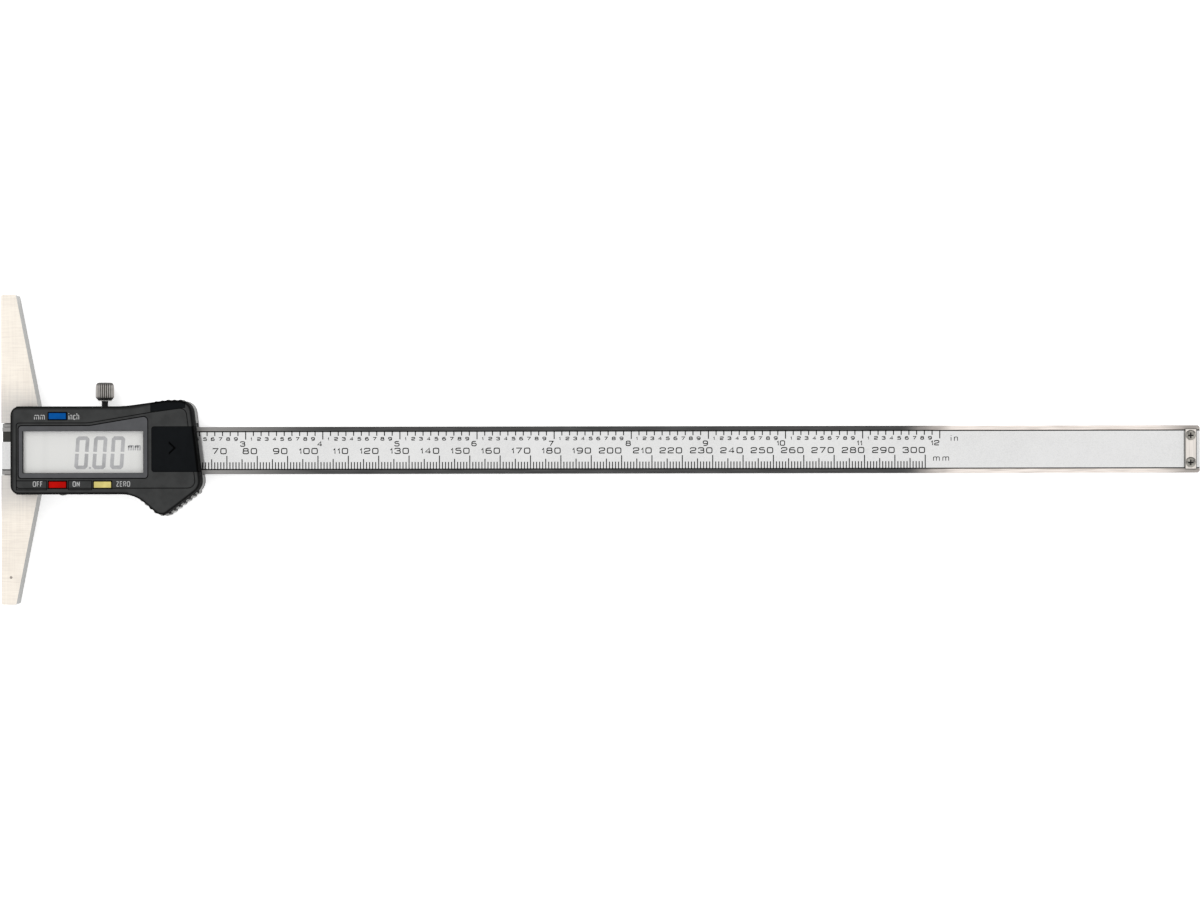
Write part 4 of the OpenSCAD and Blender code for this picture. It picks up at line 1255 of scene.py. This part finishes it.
@dataclass
class Scale:
    """The printed scale on the beam's label: millimetres below and inches above."""

    model: Model
    zero_x: float = 4.08
    last_mm: int = 300
    last_inch: int = 12
    inch: float = 25.4
    tick_width: float = 0.34
    millimetre: float = 2.5
    five: float = 3.5
    ten: float = 4.6
    tenth: float = 1.55
    whole_inch: float = 2.75
    first_tenth: float = 6.5
    # width of the painted shadow lines along the label's edges
    edge_line: float = 0.33
    edge_starts: Point = (6.0, 0.0)
    mm_at: Point = (-0.05, -1.62)
    tenth_at: Point = (-0.7, 2.78)
    inch_at: Point = (-0.13, 0.86)
    mm_name_at: Point = (2.6, -4.25)
    inch_name_at: Point = (8.4, 2.3)
    mm_letters: Lettering = Lettering(2.05, 2.12, 0.55, 0.34)
    inch_letters: Lettering = Lettering(1.8, 1.75, 0.3, 0.32)
    tenth_letters: Lettering = Lettering(1.2, 1.3, 0.3, 0.27)
    unit_letters: Lettering = Lettering(1.5, 1.5, 0.9, 0.24)

    def build(self) -> None:
        """Print the ticks and the figures, and lay a painted shadow line along both edges of the label."""
        low, high = self.model.box("scale_label")
        ticks, figures, lines = Solid(), Solid(), Solid()
        ticks.add(*self.ticks(low, high))
        self.figures(figures, high[2])
        # painted shadow lines along both edges of the label
        ys = (high[1] - self.edge_line, low[1])
        lows = np.array([[low[0] + start, y, high[2]] for start, y in zip(self.edge_starts, ys)])
        highs = np.array([[high[0], y + self.edge_line, high[2] + PRINT_MM] for y in ys])
        lines.add(*bars(lows, highs))
        self.model.add(ticks, "scale_ticks", "scale_ink", "beam", "chip_resin")
        self.model.add(figures, "scale_figures", "scale_ink", "beam", "chip_resin")
        self.model.add(lines, "label_edge_shadows", "edge_shadow", "beam", "chip_resin")

    def ticks(self, low: np.ndarray, high: np.ndarray) -> Geometry:
        """Work out every tick at once: millimetres rise from the lower edge, tenths hang from the upper.

        Args:
            low: the label's lowest corner.
            high: the label's highest corner.

        Returns:
            The vertices and faces.
        """
        n = np.arange(self.last_mm + 1)
        length = np.where(n % 10 == 0, self.ten, np.where(n % 5 == 0, self.five, self.millimetre))
        k = np.arange(self.last_inch * 10 + 1)
        hang = np.where(k % 10 == 0, self.whole_inch, self.tenth)
        x = self.zero_x + np.concatenate([n, k * self.inch / 10])
        bottom = np.concatenate([np.full(len(n), low[1]), high[1] - hang])
        top = np.concatenate([low[1] + length, np.full(len(k), high[1])])
        half = self.tick_width / 2
        shown = ~((bottom > 0) & (x < low[0] + self.first_tenth))
        lows = np.column_stack([x - half, bottom, np.full(len(x), high[2])])[shown]
        highs = np.column_stack([x + half, top, np.full(len(x), high[2] + PRINT_MM)])[shown]
        return bars(lows, highs)

    def figures(self, solid: Solid, z: float) -> None:
        """Write the numbers of both rows and the two unit names at the row's end.

        Args:
            solid: what the figures are added to.
            z: height of the label's face.
        """
        tens = range(10, self.last_mm + 1, 10)
        rows = [(self.mm_letters, str(n), n, self.mm_at, Align.RIGHT) for n in tens]
        for k in range(1, self.last_inch * 10 + 1):
            x = k * self.inch / 10
            if k % 10:
                rows.append((self.tenth_letters, str(k % 10), x, self.tenth_at, Align.CENTRE))
            else:
                rows.append((self.inch_letters, str(k // 10), x, self.inch_at, Align.RIGHT))
        rows.append((self.unit_letters, "mm", self.last_mm, self.mm_name_at, Align.LEFT))
        rows.append((self.unit_letters, "in", self.last_mm, self.inch_name_at, Align.LEFT))
        for letters, word, x, shift, align in rows:
            letters.write(solid, word, (self.zero_x + x + shift[0], shift[1]), z, align)


@dataclass
class Display:
    """What the display shows: three slanted noughts, the point and the unit."""

    model: Model
    lefts: tuple[float, ...] = (25.1, 30.95, 36.75)
    width: float = 4.35
    low: float = -6.4
    height: float = 10.75
    stroke: float = 1.2
    gap: float = 0.62
    corner: float = 0.45
    slant: float = 0.072
    point: Point = (29.95, -6.3)
    point_size: float = 0.65
    unit_at: Point = (42.7, -0.5)
    unit_letters: Lettering = Lettering(2.0, 1.36, 0.22, 0.46, 0.05)

    def half_nought(self, left: float, sign: int) -> np.ndarray:
        """Give the line of half a nought: up one side, across, and down the other, leaning to the right.

        Args:
            left: X of the nought's left side.
            sign: one for its upper half, less one for its lower half.

        Returns:
            The points.
        """
        half = self.stroke / 2
        middle = self.height / 2 + sign * self.gap / 2
        end = self.height - half if sign > 0 else half
        turn = end - sign * self.corner
        x0, x1 = half, self.width - half
        points = np.array([(x0, middle), (x0, turn), (x0 + self.corner, end), (x1 - self.corner, end),
                           (x1, turn), (x1, middle)])
        points[:, 0] += left + points[:, 1] * self.slant
        points[:, 1] += self.low
        return points

    def build(self) -> None:
        """Set the figures on the display glass."""
        z = self.model.box("lcd_panel")[1, 2]
        figures = Solid()
        for left in self.lefts:
            for sign in (1, -1):
                figures.add(*ribbon(self.half_nought(left, sign), self.stroke, z))
        point_low = np.array([[*self.point, z]])
        figures.add(*bars(point_low, point_low + [self.point_size, self.point_size, PRINT_MM]))
        self.unit_letters.write(figures, "mm", self.unit_at, z)
        self.model.add(figures, "display_figures", "figure_grey", "slider", "lcd_glass")


@dataclass
class FaceLabels:
    """The words beside the buttons."""

    model: Model
    small: Lettering = Lettering(1.62, 1.1, 0.3, 0.25)
    narrow: Lettering = Lettering(1.62, 1.02, 0.28, 0.25)
    caps: Lettering = Lettering(1.75, 1.05, 0.26, 0.23)
    upper_y: float = 9.75
    mm_x: float = 12.3
    inch_x: float = 23.5
    lower_y: float = -12.1
    off_x: float = 11.85
    on_x: float = 24.85
    zero_x: float = 39.05

    def build(self) -> None:
        """Write the words on the housing's face."""
        z = self.model.box("housing")[1, 2]
        words = Solid()
        rows = [
            (self.small, "mm", self.mm_x, self.upper_y),
            (self.narrow, "inch", self.inch_x, self.upper_y),
            (self.caps, "OFF", self.off_x, self.lower_y),
            (self.caps, "ON", self.on_x, self.lower_y),
            (self.caps, "ZERO", self.zero_x, self.lower_y),
        ]
        for letters, word, x, y in rows:
            letters.write(words, word, (x, y), z)
        self.model.add(words, "button_words", "label_paint", "slider", "holder_plastic")


@dataclass
class LockScrew:
    """The knurled lock screw, turned about a line across the beam.

    The tip's points are distance from the tip and radius less the thread's. The head's points are distance
    from the head's start or end, and radius less the head's.
    """

    model: Model
    head_r: float = 3.03
    head_length: float = 6.1
    neck_r: float = 1.05
    thread_r: float = 1.3
    thread_y: Span = (0.4, 5.45)
    thread_depth: float = 0.12
    pitch: float = 0.5
    knurls: int = 26
    knurl_depth: float = 0.45
    knurl_from: float = 0.45
    knurl_fade: float = 0.35
    around: int = 260
    tip: tuple[Point, ...] = ((0.0, -1.3), (0.0, -0.45), (0.3, -0.15))
    thread_points: int = 90
    head_start: tuple[Point, ...] = ((0.02, -1.02), (0.1, -0.9), (0.42, -0.66), (0.5, -0.8), (0.62, -0.5),
                                     (0.95, -0.26), (1.2, -0.08), (1.5, 0.0))
    grip: Span = (1.7, -1.45)
    grip_points: int = 12
    head_end: tuple[Point, ...] = ((-1.3, 0.0), (-0.9, -0.08), (-0.5, -0.28), (-0.2, -0.55), (0.0, -0.95),
                                   (0.0, -1.3), (-0.08, -1.7), (-0.08, -3.03))
    smooth_deg: float = 28
    weld_mm: float = 0.0001

    def profile(self, length: float) -> Geometry:
        """Give distance along the axis and radius from tip to head, the thread as a run of small waves.

        Args:
            length: the whole screw's length.

        Returns:
            The distances and the radii.
        """
        head = length - self.head_length
        thread_y = np.linspace(*self.thread_y, self.thread_points)
        wave = 0.5 + 0.5 * np.cos(2 * np.pi * thread_y / self.pitch)
        grip_y = np.linspace(head + self.grip[0], length + self.grip[1], self.grip_points)
        points = np.concatenate([
            np.array(self.tip) + [0.0, self.thread_r],
            np.column_stack([thread_y, self.thread_r - self.thread_depth * wave]),
            [[self.thread_y[1] + 0.05, self.neck_r], [head, self.neck_r]],
            np.array(self.head_start) + [head, self.head_r],
            np.column_stack([grip_y, np.full(len(grip_y), self.head_r)]),
            np.array(self.head_end) + [length, self.head_r],
        ])
        return points[:, 0], points[:, 1]

    def build(self) -> None:
        """Turn the profile and press the knurl into the head.

        The radius at angle a is the profile's less the knurl's depth times a triangle wave of a, which
        fades out over both chamfers.
        """
        low, high = self.model.box("lock_screw")
        along, radius = self.profile(high[1] - low[1])
        angle = np.linspace(0, 2 * np.pi, self.around, endpoint=False)
        wave = np.abs((angle * self.knurls / (2 * np.pi)) % 1 - 0.5) * 2
        share = np.clip((radius - (self.head_r - self.knurl_from)) / self.knurl_fade, 0, 1)
        r = radius[:, None] - share[:, None] * self.knurl_depth * wave[None, :]
        centre = (low + high) / 2
        x = centre[0] + r * np.cos(angle)
        z = centre[2] - r * np.sin(angle)
        y = np.broadcast_to((low[1] + along)[:, None], x.shape)
        solid = Solid()
        solid.add(np.stack([x, y, z], axis=-1).reshape(-1, 3), strip_faces(len(along), self.around, False))
        piece = solid.piece("lock_screw_turned", self.model.finishes["knurled_steel"], self.smooth_deg)
        work = bmesh.new()
        work.from_mesh(piece.data)
        bmesh.ops.remove_doubles(work, verts=work.verts, dist=self.weld_mm * MM)
        bmesh.ops.recalc_face_normals(work, faces=work.faces)
        work.to_mesh(piece.data)
        work.free()
        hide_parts("lock_screw")
        self.model.carry(piece, "lock_screw", "knurled_steel")


@dataclass
class Studio:
    """The floor, the light and the camera."""

    middle_x: float = 196.97
    middle_y: float = -0.42
    plane_z: float = 6.2
    height: float = 1000.0
    half_width: float = 197.6
    roll: float = -0.0018
    clip: Span = (0.01, 20.0)
    floor_half: float = 3000.0
    floor_paint: float = 0.96
    floor_lift: float = 0.5
    lamp_at: tuple[float, float, float] = (-500.0, 900.0, 1100.0)
    lamp_size: float = 900.0
    lamp_power: float = 5.0
    sky: float = 0.88

    def build(self) -> None:
        """Make the floor, the world, the lamp and the camera."""
        self.floor()
        self.world()
        self.lamp()
        self.camera()

    def floor(self) -> None:
        """Lay a white floor that keeps the gauge's shadow, shows white and isn't there from below."""
        corners = np.array([[-1, -1, 0], [1, -1, 0], [1, 1, 0], [-1, 1, 0]]) * self.floor_half
        solid = Solid()
        solid.add(corners + [self.middle_x, 0.0, 0.0], np.array([[0, 1, 2, 3]]))
        graph = Graph("floor_paint")
        material = graph.finish({
            "Base Color": (*grey(self.floor_paint), 1.0),
            "Roughness": 0.8,
            "Specular IOR Level": 0.0,
            "Emission Color": graph.mix(graph.seen(), grey(0.0), grey(self.floor_lift)),
            "Emission Strength": 1.0,
            "Alpha": graph.seen_from_above(),
        })
        solid.piece("floor", material)

    def world(self) -> None:
        """Light everything evenly, and show white where a ray from camera or mirror leaves the room."""
        world = bpy.data.worlds.new("studio")
        bpy.context.scene.world = world
        world.use_nodes = True
        nodes = Nodes(world.node_tree)
        even, white = (
            nodes.node("ShaderNodeBackground", {}, {"Color": WHITE, "Strength": strength}).outputs[0]
            for strength in (self.sky, 1.0)
        )
        mix = nodes.node("ShaderNodeMixShader", {}, [nodes.seen(), even, white])
        nodes.node("ShaderNodeOutputWorld", {}, [mix.outputs[0]])

    def lamp(self) -> None:
        """Hang one large soft lamp to the upper left, which no mirror shows."""
        data = bpy.data.lights.new("softbox", "AREA")
        data.shape = "DISK"
        data.size = self.lamp_size * MM
        data.energy = self.lamp_power
        made = in_scene("softbox", data)
        made.location = [part * MM for part in self.lamp_at]
        aim = np.array([self.middle_x, 0.0, 0.0]) - np.array(self.lamp_at)
        away = math.hypot(aim[0], aim[1])
        made.rotation_euler = (math.atan2(away, -aim[2]), 0.0, math.atan2(aim[1], aim[0]) - math.pi / 2)
        made.visible_glossy = False

    def camera(self) -> None:
        """Hang the camera straight over the middle of the photograph's frame."""
        data = bpy.data.cameras.new("camera")
        data.sensor_fit = "HORIZONTAL"
        data.angle_x = 2 * math.atan(self.half_width / self.height)
        data.clip_start, data.clip_end = self.clip
        made = in_scene("camera", data)
        made.location = (self.middle_x * MM, self.middle_y * MM, (self.plane_z + self.height) * MM)
        made.rotation_euler = (0.0, 0.0, self.roll)
        bpy.context.scene.camera = made


def main() -> None:
    """Load the fixed model, dress it, light it and report."""
    logging.basicConfig(level=logging.INFO, format="%(message)s")
    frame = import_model()
    bpy.context.scene.view_settings.view_transform = "Standard"
    Studio().build()
    model = Model(frame)
    model.paint()
    for node, width in SOFT_EDGES.items():
        model.soften(node, width)
    for part in (Scale(model), Display(model), FaceLabels(model), LockScrew(model)):
        part.build()


if __name__ == "__main__":
    main()
